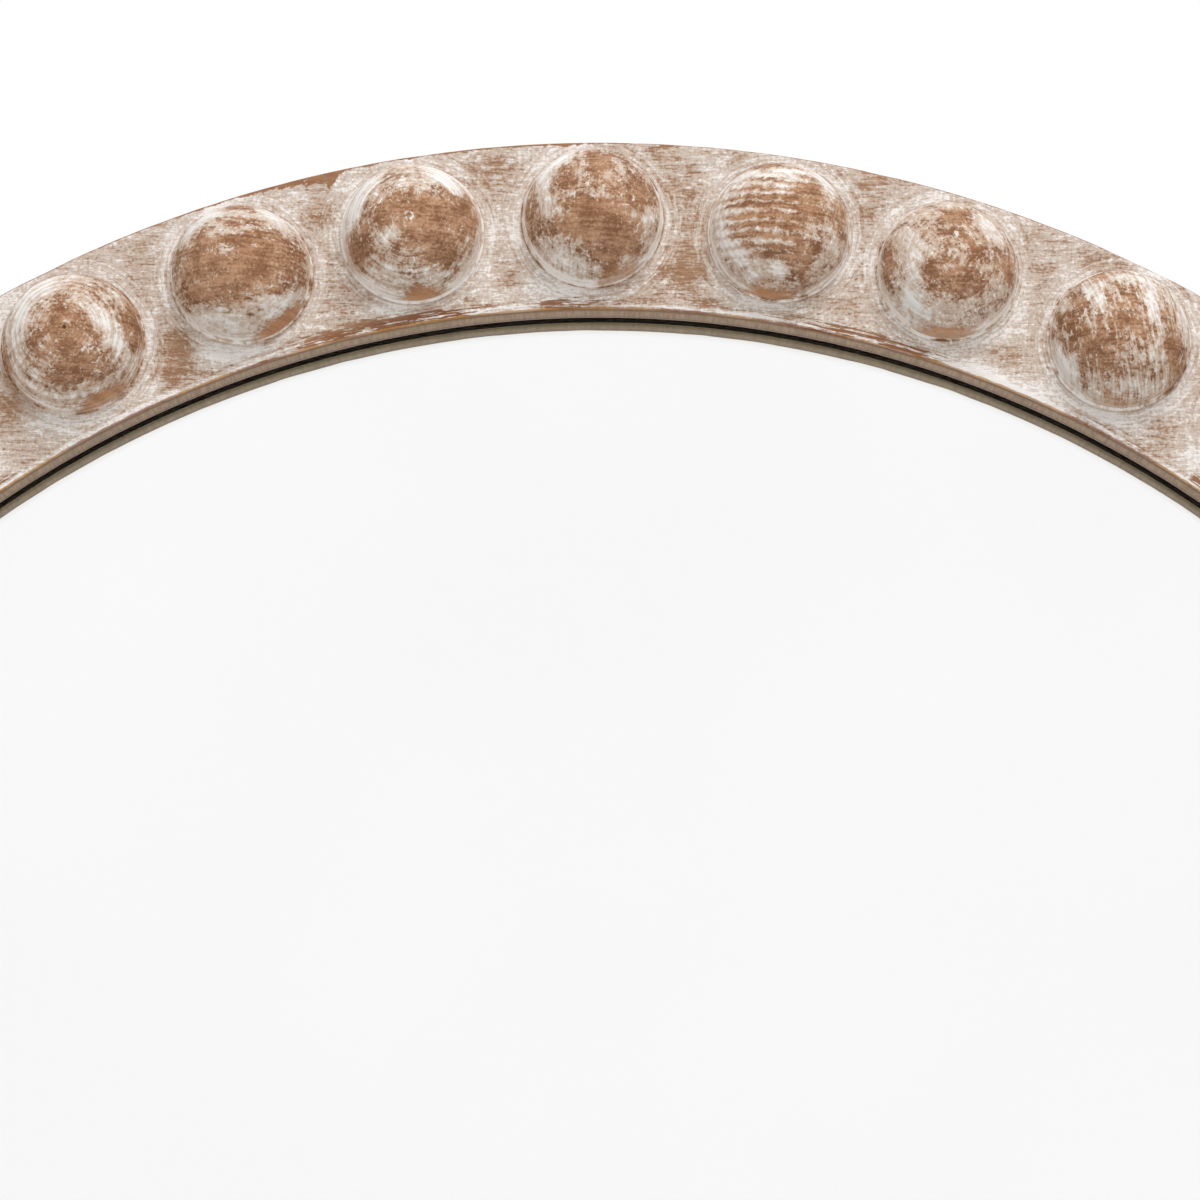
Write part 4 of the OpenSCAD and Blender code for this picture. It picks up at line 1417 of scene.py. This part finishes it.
class MIRROR_OT_stage(bpy.types.Operator):
    """Sets up the floor, the soft studio light and the camera."""

    bl_idname = "bobbin_mirror.stage"
    bl_label = "Stage"

    def execute(self, context):
        settings = context.scene.bobbin_mirror
        sizes = settings.stage
        self.floor(settings)
        self.sky(context.scene, sizes)
        self.lamp("above_front", sizes, sizes.key_place, sizes.key_power)
        self.lamp("above_back", sizes, sizes.back_place, sizes.back_power)
        self.camera(context.scene, sizes)
        context.scene.view_settings.view_transform = "Standard"
        return {"FINISHED"}

    def floor(self, settings):
        """A square floor at the mirror's lowest point."""
        bm = bmesh.new()
        bmesh.ops.create_grid(bm, x_segments=2, y_segments=2, size=settings.stage.floor_size / 2,
                              matrix=Matrix.Translation((0, 0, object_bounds()[0].z)))
        mesh = as_mesh(bm, "floor")
        mesh.materials.append(studio_floor(settings.colours))
        add_object("floor", mesh)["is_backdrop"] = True

    def sky(self, scene, sizes):
        """White to the eye, in metal and through glass, and a plain soft fill for everything else."""
        scene.world = bpy.data.worlds.new("studio")
        tree = Tree(scene.world)
        strength = tree.line(tree.seen(), 1 - sizes.fill, sizes.fill)
        sky = tree.fill(tree.add("Background"), {"Color": (1, 1, 1, 1), "Strength": strength})
        tree.links.new(sky.outputs[0], tree.add("OutputWorld").inputs["Surface"])

    def lamp(self, name, sizes, place, power):
        """A square soft lamp that neither metal nor glass shows."""
        data = bpy.data.lights.new(name, "AREA")
        data.energy = power
        data.size = sizes.lamp_size
        lamp = add_object(name, data)
        lamp.location = place
        lamp.rotation_euler = (sizes.lamp_aim - place).to_track_quat("-Z", "Y").to_euler()
        lamp.visible_glossy = False
        lamp.visible_transmission = False

    def camera(self, scene, sizes):
        """A camera on the mirror's axis that looks up at its top."""
        data = bpy.data.cameras.new("camera")
        data.lens = sizes.lens
        camera = add_object("camera", data)
        camera.location = (0, -sizes.camera_far, sizes.camera_h)
        camera.rotation_euler = (math.pi / 2 + sizes.camera_pitch, 0, 0)
        scene.camera = camera


class MIRROR_PT_panel(bpy.types.Panel):
    """Lists the steps that build the mirror."""

    bl_label = "Bobbin mirror"
    bl_idname = "MIRROR_PT_panel"
    bl_space_type = "VIEW_3D"
    bl_region_type = "UI"
    bl_category = "Bobbin mirror"

    def draw(self, context):
        for step in STEPS:
            self.layout.operator(step.bl_idname)


STEPS = (
    MIRROR_OT_front_board,
    MIRROR_OT_bobbins,
    MIRROR_OT_glass,
    MIRROR_OT_back_boards,
    MIRROR_OT_ring_screws,
    MIRROR_OT_turn_buttons,
    MIRROR_OT_hangers,
    MIRROR_OT_dowels,
    MIRROR_OT_stage,
)
CLASSES = (RingSizes, BobbinSizes, BackSizes, Colours, StageSizes, MirrorSettings, *STEPS, MIRROR_PT_panel)


def register():
    for cls in CLASSES:
        bpy.utils.register_class(cls)
    bpy.types.Scene.bobbin_mirror = PointerProperty(type=MirrorSettings)


def unregister():
    del bpy.types.Scene.bobbin_mirror
    for cls in reversed(CLASSES):
        bpy.utils.unregister_class(cls)


def main():
    register()
    for step in STEPS:
        group, name = step.bl_idname.split(".")
        getattr(getattr(bpy.ops, group), name)()


if __name__ == "__main__":
    main()
